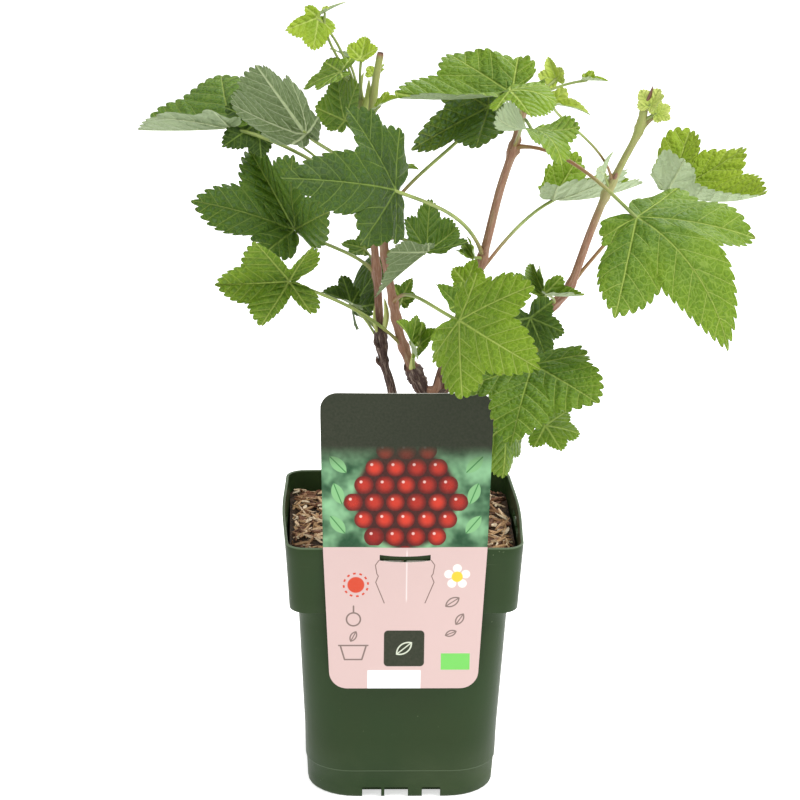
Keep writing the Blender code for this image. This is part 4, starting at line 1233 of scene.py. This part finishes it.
def stalk_line(stem, leaf):
    """The stalk's line, from inside the cane to just under the blade's joint."""
    foot, grain = stem_point(stem, leaf.foot)
    length, forward, _, normal = leaf_axes(leaf)
    end = leaf.joint + forward * min(2.0, 0.08 * length) - normal * 0.3
    straight = (end - foot).normalized()
    reach = (end - foot).length
    leave = foot + (straight + grain * 0.6).normalized() * reach * 0.35
    arrive = end - (straight + forward * 0.5 - normal * 0.25).normalized() * reach * 0.3
    line = []
    for step in range(STALK_STEPS + 1):
        t = step / STALK_STEPS
        first, last = foot * (1 - t) ** 3, end * t ** 3
        line.append(first + leave * 3 * t * (1 - t) ** 2 + arrive * 3 * t * t * (1 - t) + last)
    return line


# How red the foot of a leaf's stalk is; the others' redness is USUAL_RED.
RUDDY = {
    "big_right": 1.7, "back_lit": 1.35, "far_right": 1.6, "frill": 1.2, "front_large": 1.1,
    "quilted": 1.2,
}
USUAL_RED = 0.9


def grow_stalk(growth, stem, leaf):
    """One thin tube with a wide foot on the cane and a slightly wider neck at the blade."""
    line = stalk_line(stem, leaf)
    length = (leaf.tip - leaf.joint).length
    reach = sum((b - a).length for a, b in zip(line, line[1:]))
    slim = 0.72 if length < SMALL_LEAF else 0.8 + 0.25 * min(1.0, length / 60)
    red = RUDDY.get(leaf.name, USUAL_RED)
    radii, ages, along = [], [], 0.0
    for i, point in enumerate(line):
        along += (point - line[i - 1]).length if i else 0.0
        radii.append(slim * (0.85 + 0.75 * near(along, 0.0, 4.5) + 0.2 * near(along, reach, 3)))
        ages.append(max(0.0, red - along / max(14.0, reach * 0.7)))
    radii[-1] *= 0.6
    growth.grow(line, radii, STALK_SIDES, ages)


def make_wood():
    wood, stalks = bark(), stalk_skin()
    for node, canes in STEMS.items():
        growth, green = Growth(), Growth()
        for stem in canes:
            grow_cane(growth, stem)
            if stem.stub:
                grow_stub(growth, stem)
            for number, leaf in enumerate(stem.leaves):
                grow_stalk(green, stem, leaf)
                if number % 2 == 0 and leaf.foot < stem.points[-1].z - 12:
                    side = leaf.joint - stem_point(stem, leaf.foot)[0]
                    turn = math.atan2(side.y, side.x) + 0.5
                    grow_bud(growth, stem, leaf.foot + 2.0, turn, BUD_SIZE)
        for owner, *places, radius, age in SCALES:
            if owner == node:
                grow_scale(growth, places, radius, age)
        growth.make(node + "_wood", wood, "leafy_stem", [node])
        green.make(node + "_stalks", stalks, "leafy_stem", [node])


make_wood()


# The leaves: thin blades with five main veins from the stalk, a puckered surface between the veins
# and blunt rounded teeth. The upper face is satin green, the under face pale and matt with raised
# veins. Each blade is a fan of rings under a folded and arched surface, closed round its margin.
def margin_reach(leaf, angle):
    """The margin's distance from the joint, without teeth, at an angle from the midrib."""
    margin, full = leaf.margins[angle > 0], leaf.full[angle > 0]
    angle = abs(angle)
    for (a, reach_a), (b, reach_b) in zip(margin, margin[1:]):
        if angle <= b:
            share = (angle - a) / (b - a)
            bulge = full if b < CLEFT_ANGLE else FULL if min(reach_a, reach_b) > DEEP else HOLLOW
            if a in (0, LOBE_ANGLE):
                share = 1 - (1 - share) ** bulge
            elif a == BASAL_ANGLE:
                share = 1 - math.cos(share * math.pi / 2) ** FULL
            else:
                share = share ** bulge
            return reach_a + (reach_b - reach_a) * share
    return JOINT_EDGE


def toothed_margin(leaf, length):
    """Angles round the whole leaf with the margin's reach at each, teeth included."""
    angles = np.linspace(-179.5, 179.5, 1437)
    reach = np.array([margin_reach(leaf, a) for a in angles])
    lobe = np.where(angles > 0, leaf.right, leaf.left)
    wide = 1 + (lobe - 1) * np.minimum(1, np.abs(angles) / 30)
    turn = np.radians(angles)
    x, y = reach * wide * np.sin(turn), reach * wide * np.cos(turn)
    run = np.concatenate([[0], np.cumsum(np.hypot(np.diff(x), np.diff(y)))]) * length
    middle = np.interp(0, angles, run)
    pitch = min(4.8, max(1.4, 0.085 * length + 0.5))
    left, right = max(4, round(middle / pitch)), max(4, round((run[-1] - middle) / pitch))
    samples = 6 if length > SMALL_LEAF else 4
    places = np.concatenate([
        np.linspace(0, middle, left * samples, endpoint=False),
        np.linspace(middle, run[-1], right * samples + 1),
    ])
    phase = np.concatenate([
        np.linspace(left - 0.5, -0.5, left * samples, endpoint=False),
        np.linspace(-0.5, right - 0.5, right * samples + 1),
    ]) % 1.0
    out = np.interp(places, run, angles)
    smooth = np.interp(out, angles, reach)
    bump = 1 - np.abs(2 * phase - 1) ** 2.4
    depth = min(0.05, 1.6 / length + 0.018)
    fade = np.clip((165 - np.abs(out)) / 25, 0, 1)
    tooth = 1 + depth * (bump - 0.55) / np.maximum(smooth, 0.45) * fade
    return out, smooth, smooth * tooth


def blade_points(leaf, angle, reach, lift_off):
    """Points of the blade's upper face from flat places, raised by lift_off in leaf lengths."""
    turn = np.radians(angle)
    lobe = np.where(angle > 0, leaf.right, leaf.left)
    reach = reach * (1 + (lobe - 1) * np.minimum(1.0, np.abs(angle) / 30))
    u, v = reach * np.sin(turn), reach * np.cos(turn)
    flat = np.abs(u) * (1 - (2 * leaf.cup * u) ** 2 / 6)
    curl = leaf.cup * u * u
    lift = np.sqrt(flat * flat + FOLD_WIDTH ** 2) - FOLD_WIDTH
    fold = math.radians(leaf.fold)
    side = np.copysign(flat - lift * (1 - math.cos(fold)) - curl * math.sin(fold), u)
    arch = leaf.droop / 2
    rise = lift * math.sin(fold) + curl * math.cos(fold) - arch * v * v + lift_off
    side = side - np.sign(u) * lift_off * math.sin(fold) * 0.7
    ahead = v * (1 - (leaf.droop * v) ** 2 / 6)
    chord = Vector((1 - leaf.droop ** 2 / 6, arch))
    length, forward, across, normal = leaf_axes(leaf)
    scale = length / chord.length
    chord.normalize()
    along = ahead * chord.x - rise * chord.y
    height = ahead * chord.y + rise * chord.x
    spread = [np.multiply.outer(part, np.array(axis)) for part, axis in (
        (side, across), (along, forward), (height, normal))]
    return np.array(leaf.joint) + sum(spread) * scale, u, v


# How far apart the side veins are, in leaf lengths, and how much wider on a young leaf.
SIDE_VEINS = 0.155
YOUNG_VEINS = 0.08
LARGE_LEAF = 45.0
BLADE_THICK = 0.34
MARGIN_THICK = 0.18


def relief(u, v, rho, seed, length, sheen):
    """How far the blade stands off its smooth form: sunk veins, domed panels and a wavy margin."""
    a = np.abs(u)
    theta = np.degrees(np.arctan2(a, v))
    outer = np.where(theta < CLEFT_ANGLE, LOBE_ANGLE, BASAL_ANGLE)
    axis = np.radians(np.where(theta < NOTCH_ANGLE, 0, outer))
    s = a * np.sin(axis) + v * np.cos(axis)
    t = a * np.cos(axis) - v * np.sin(axis)
    away = np.abs(t)
    groove = -0.007 * np.exp(-((t / 0.018) ** 2)) * np.clip(1.1 - s, 0, 1)
    pitch = SIDE_VEINS + YOUNG_VEINS * min(1.0, max(0.0, (30 - length) / 20))
    q = (s - 0.9 * away - 0.35 * t * t) / pitch + np.where(t > 0, 0.5, 0.0) + seed * 3
    inside = np.clip(away / 0.03, 0, 1) * np.clip((1 - rho) * 6, 0, 1)
    quilt = 0.006 * np.abs(np.sin(np.pi * q)) * inside * (1 + sheen)
    keel = 0.05 * away * np.clip((a + np.abs(v)) * 2, 0, 1)
    half = np.sign(u)
    ruffle = np.sin(np.radians(theta) * 9 + seed * 6 + half) * np.clip(s * 2, 0, 1)
    wave = np.sin(np.radians(theta) * 4.2 + seed * 11 + 2 * half)
    sunk = (groove + quilt) * min(1.0, length / LARGE_LEAF)
    return sunk + keel + 0.022 * rho ** 3 * ruffle + 0.015 * rho ** 2 * wave


def point_normals(points, *face_sets):
    """A normal at each point, from the triangles and quads round it."""
    normal = np.zeros_like(points)
    for faces in face_sets:
        corners = faces.shape[1]
        across = points[faces[:, -2]] - points[faces[:, 0]]
        along = points[faces[:, -1]] - points[faces[:, corners - 3]]
        cross = np.cross(across, along)
        for k in range(corners):
            np.add.at(normal, faces[:, k], cross)
    return normal / np.maximum(np.linalg.norm(normal, axis=1), 1e-9)[:, None]


class Foliage:
    """Blades gathered as one piece. Each point keeps its flat place, its lightness with painted light and
    shade, and its sheen.
    """

    def __init__(self):
        self.points, self.faces, self.count = [], [], 0
        self.kept = {"flat": [], "tone": [], "sheen": []}

    def add_blade(self, leaf, light, sheen, seed):
        """The upper face is a fan of rings round the joint, and the under face its copy."""
        length = (leaf.tip - leaf.joint).length
        rings = 15 if length > LARGE_LEAF else 11 if length > SMALL_LEAF else 7
        angles, plain, toothed = toothed_margin(leaf, length)
        shares = 1 - (1 - np.arange(1, rings + 1) / rings) ** 1.25
        reach = shares * part_way(plain[:, None], toothed[:, None], shares ** 5)
        angle = np.repeat(angles[:, None], rings, 1)
        rho = np.repeat(shares[None], len(angles), 0)
        turn = np.radians(angle)
        lift = relief(reach * np.sin(turn), reach * np.cos(turn), rho, seed, length, sheen)
        top, u, v = blade_points(leaf, angle, reach, lift)
        upper = np.concatenate([top.reshape(-1, 3), [list(leaf.joint)]])
        flat = np.stack([u, v, np.full_like(u, length)], 2).reshape(-1, 3)
        flat = np.concatenate([flat, [(0, 0, length)]])
        edge = np.append(rho, 0.0)

        size, hub = len(upper), rho.size
        index = np.arange(hub).reshape(rho.shape)
        corners = index[:-1, :-1], index[1:, :-1], index[1:, 1:], index[:-1, 1:]
        quads = np.stack(corners, 2).reshape(-1, 4)
        fan = np.stack([np.full(len(angles) - 1, hub), index[1:, 0], index[:-1, 0]], 1)
        thick = part_way(BLADE_THICK, MARGIN_THICK, edge)
        under = upper - point_normals(upper, quads, fan) * thick[:, None]
        rim = np.append(index[:, -1], hub)
        after = np.roll(rim, -1)
        walls = np.stack([rim + size, after + size, after, rim], 1)
        for faces in (quads, fan, (quads + size)[:, ::-1], (fan + size)[:, ::-1], walls):
            self.faces += (faces + self.count).tolist()
        self.points += [upper, under]
        self.count += 2 * size
        for side in (edge, -edge - 1):
            self.kept["flat"].append(flat)
            self.kept["tone"].append(np.stack([side, np.full(size, light), np.full(size, seed)], 1))
            self.kept["sheen"].append(np.full((size, 3), sheen))

    def make(self, name, finish, node):
        points = np.concatenate(self.points)
        piece = make_piece(name, points, self.faces, [finish], [node], smooth=62)
        for label, values in self.kept.items():
            data = piece.data.attributes.new(label, "FLOAT_VECTOR", "POINT")
            data.data.foreach_set("vector", np.concatenate(values).astype(np.float32).ravel())


def vein_masks(u, v, length, seed):
    """Masks of the main veins and of their side veins, and how far the next side vein is."""
    a = abs(u)
    theta = a.maths("ARCTAN2", v)
    outer = theta > math.radians(NOTCH_ANGLE)
    basal = theta > math.radians(CLEFT_ANGLE)
    axis = outer * math.radians(LOBE_ANGLE) + basal * math.radians(BASAL_ANGLE - LOBE_ANGLE)
    sine, cosine = axis.maths("SINE"), axis.maths("COSINE")
    s = a * sine + v * cosine
    t = a * cosine - v * sine
    away = abs(t)
    wide = (1.15 - s) * 0.5 + 0.1
    main = (away * length).between(wide + 0.2, wide * 0.4)
    pitch = length.between(30, 10) * YOUNG_VEINS + SIDE_VEINS
    q = (s - away * 0.9 - t * t * 0.35) / pitch + (t > 0) * 0.5 + seed * 3.0
    branch = abs((q + 0.5).maths("FRACT") - 0.5)
    second = (branch * length * pitch).between(0.5, 0.15) * away.between(0.38, 0.2)
    return main, second, branch


def leaf_blade():
    """The leaf's two faces. Its flat place gives the veins, its own colour and painted light and shade how
    dark or yellow it is.
    """
    skin = Finish("leaf_blade")
    u, v, length = skin.parts(skin.attribute("flat"))
    edge, light, seed = skin.parts(skin.attribute("tone"))
    sheen = skin.parts(skin.attribute("sheen"))[0]
    under = edge < -0.5
    rho = edge * (1 - under) + (-1 - edge) * under
    grown = length.between(12, 40)
    main, second, branch = vein_masks(u, v, length, seed)
    place = skin.node("CombineXYZ", {}, u * length, v * length, seed * 30)
    wobble = skin.node("TexNoise", {}, Vector=place, Scale=0.35, Detail=1.0, output=1)
    place = skin.node("VectorMath", {"operation": "ADD"}, place, wobble)
    net = {"feature": "DISTANCE_TO_EDGE"}
    cells = skin.node("TexVoronoi", net, Vector=place, Scale=0.36, Randomness=0.9)
    small = skin.node("TexVoronoi", net, Vector=place, Scale=0.95)
    third, fourth = cells.between(0.085, 0.02), small.between(0.11, 0.02)
    cloud = skin.noise(place, 0.05, 2)
    fleck = skin.noise(place, 1.6, 2)

    # Painted light and shade: shade sets both faces' green from the blade's LIGHT, random clouds, lighter
    # toward its margin, and painted light rising toward +X, the key light's side.
    painted_side_light = skin.parts(skin.place())[0] * 0.9 - 0.03
    shade = light + (cloud - 0.5) * 0.3 + (rho - 0.7) * 0.2 + painted_side_light
    upper = skin.mix(shade.between(0.0, 0.45), tint("263f0e"), tint("4d711a"))
    upper = skin.mix(shade.between(0.4, 0.8), upper, tint("7b9c1c"))
    upper = skin.mix(shade.between(0.75, 1.1), upper, tint("a9c232"))
    upper = skin.mix(shade.between(1.0, 1.4), upper, tint("d3dd7c"))
    upper = skin.mix(fleck.between(0.4, 0.7) * 0.2 * grown, upper, tint("2c4814"))
    veins = (main * 0.9).either(second * (grown * 0.3 + 0.3)).either(third * 0.26)
    pale = skin.mix(shade.between(0.0, 0.8), tint("86a04c"), tint("bdd166"))
    upper = skin.mix(veins.either(fourth * 0.1), upper, pale)
    domed = cells.between(0.05, 0.4) * (1 - main) * (1 - second)
    # Painted reflection: a bluish sheen of the pale room painted on the domes between the veins.
    upper = skin.mix(sheen * domed * cloud * 0.7, upper, tint("86a37f"))
    lower = skin.mix(shade.between(0.1, 0.9), tint("5d7042"), tint("b9caa2"))
    veins = (main * 0.7).either(second * 0.45).either(third * 0.14)
    lower = skin.mix(veins, lower, tint("c6d3a2"))
    brown = rho.between(0.97, 1.0) * skin.noise(place, 0.25, 2).between(0.6, 0.7)
    colour = skin.mix(brown * 0.5, skin.mix(under, upper, lower), tint("8a6a35"))
    skin.wear(Base_Color=colour, Roughness=0.4 + under * 0.2 + fleck * 0.12)
    skin.wear(Specular_IOR_Level=0.18, Coat_Weight=sheen * 0.3, Coat_Roughness=0.35)

    domes = cells.between(0.0, 0.45) * 0.7 + small.between(0.0, 0.4) * 0.16
    domes = domes + branch.between(0.0, 0.5) * 1.1 - main * 0.8 - second * 0.5
    height = domes * (1 - under * 1.8) * (grown * 0.65 + 0.35) * (sheen * 0.8 + 0.9)
    skin.bump(height + fleck * 0.05, 0.75, 0.0011)
    glow = skin.node("BsdfTranslucent", {}, tint("9fbf2e"))
    both = skin.node("MixShader", {}, 0.2, Wire(skin, skin.shader.outputs[0]), glow)
    skin.feed(skin.tree.nodes["Material Output"].inputs["Surface"], both)
    return skin


# How light or yellow each blade is painted, its own colour with painted light and shade: about 0 for a
# blade in deep shade, and 1 or more for the youngest.
LIGHT = {
    "tip": 1.0, "tip_wing": 1.2, "bright_cup": 1.0, "sliver": 1.0, "under_tip": 0.65,
    "dark_upright": 0.6, "upturned": 0.3, "far_left": 0.6, "lower_left": 0.42, "shade_far": 0.0,
    "shade_back": 0.05, "shade_left": 0.05, "small_left": 0.5, "front_left": 0.7,
    "front_large": 0.68, "middle_upper": 0.4, "middle_hanging": 0.35, "bud_right": 1.0,
    "bud_high": 1.1, "tiny_upper": 0.7, "tiny_behind": 0.45, "young_low_left": 0.6,
    "young_low_right": 0.65, "quilted": 0.5, "big_left": 0.2, "top_large": 0.58, "top_light": 0.7,
    "near_top": 0.62, "big_right": 0.5, "back_lit": 0.75, "curl": 0.8, "low_upright": 0.8,
    "low_small": 0.5, "wing_up": 1.15, "wing_out": 0.9, "frill": 1.15, "side_bud": 1.0,
    "crown_left": 1.25, "crown_right": 1.2, "far_right": 0.87, "curved_dark": 0.2,
    "low_left_wing": 0.5, "low_right_wing": 0.55, "front_low": 0.5, "lowest_right": 0.55,
    "lowest": 0.5,
}


# How strongly a blade mirrors the pale room, by its coat and by a painted bluish reflection; the others'
# sheen is USUAL_SHEEN.
USUAL_SHEEN = 0.1
SHEEN = {
    "quilted": 1.5, "big_left": 0.3, "lower_left": 0.6, "far_left": 0.4, "upturned": 0.3,
    "near_top": 0.3, "front_left": 0.3, "middle_hanging": 0.3, "curved_dark": 0.3,
    "dark_upright": 0.3,
}


def make_leaves():
    blade = leaf_blade()
    draw = random.Random(3)
    for node, canes in STEMS.items():
        for stem in canes:
            if not stem.leaves:
                continue
            foliage = Foliage()
            for leaf in stem.leaves:
                sheen = SHEEN.get(leaf.name, USUAL_SHEEN)
                foliage.add_blade(leaf, LIGHT[leaf.name], sheen, draw.random())
            foliage.make(stem.name + "_leaves", blade, node)


make_leaves()


# The stage: a plain pale floor and soft studio light, the main light from the upper right.
def area_light(name, place, aim, size, power):
    data = bpy.data.lights.new(name, "AREA")
    data.shape = "SQUARE"
    data.size = size
    data.energy = power
    light = bpy.data.objects.new(name, data)
    light.location = place
    light.rotation_euler = (Vector(aim) - Vector(place)).to_track_quat("-Z", "Y").to_euler()
    bpy.context.scene.collection.objects.link(light)


FLOOR_HALF = 6
floor_finish = Finish("studio_floor")
floor_finish.wear(Base_Color=(0.95, 0.95, 0.95, 1.0), Roughness=0.9)
floor_finish.wear(Emission_Color=(1.0, 1.0, 1.0, 1.0), Emission_Strength=0.6)
floor_mesh = bpy.data.meshes.new("studio_floor")
sides = ((-1, -1), (1, -1), (1, 1), (-1, 1))
floor_corners = [(x * FLOOR_HALF, y * FLOOR_HALF, 0) for x, y in sides]
floor_mesh.from_pydata(floor_corners, [], [(0, 1, 2, 3)])
floor_mesh.materials.append(floor_finish.material)
floor = bpy.data.objects.new("studio_floor", floor_mesh)
bpy.context.scene.collection.objects.link(floor)

LIGHTS = (
    ("key", (1.0, -0.6, 1.4), (0.05, 0, 0.22), 0.7, 18),
    ("back", (0.7, 1.2, 1.3), (0.05, 0, 0.25), 0.9, 13),
    ("fill", (-1.3, -1.1, 0.9), (0, 0, 0.2), 1.2, 7),
    ("top", (0, 0, 1.8), (0, 0, 0.2), 1.2, 7),
)
for light in LIGHTS:
    area_light(*light)

world = bpy.data.worlds.new("studio")
world.use_nodes = True
sky = world.node_tree.nodes["Background"]
sky.inputs["Color"].default_value = (1, 1, 1, 1)
sky.inputs["Strength"].default_value = 0.55
bpy.context.scene.world = world
bpy.context.scene.view_settings.view_transform = "Standard"

# The camera, fitted to the pot's, the label's and the stems' corners in the photo.
CAMERA_PLACE = (-0.0473, -1.2998, 0.6002)
CAMERA_YAW = -0.0354
CAMERA_PITCH = 0.3099
CAMERA_ROLL = 0.0121
FOCAL_PIXELS = 2905
PHOTO_PIXELS = 800
SENSOR_WIDTH = 36
yaw, fall = Matrix.Rotation(CAMERA_YAW, 3, "Z"), Matrix.Rotation(-CAMERA_PITCH, 3, "X")
turn = yaw @ fall @ Matrix.Rotation(math.pi / 2, 3, "X") @ Matrix.Rotation(CAMERA_ROLL, 3, "Z")
lens = bpy.data.cameras.new("photo_view")
lens.sensor_width = SENSOR_WIDTH
lens.lens = FOCAL_PIXELS / PHOTO_PIXELS * SENSOR_WIDTH
lens.clip_end = 20
camera = bpy.data.objects.new("photo_view", lens)
camera.matrix_world = Matrix.Translation(CAMERA_PLACE) @ turn.to_4x4()
bpy.context.scene.collection.objects.link(camera)
bpy.context.scene.camera = camera
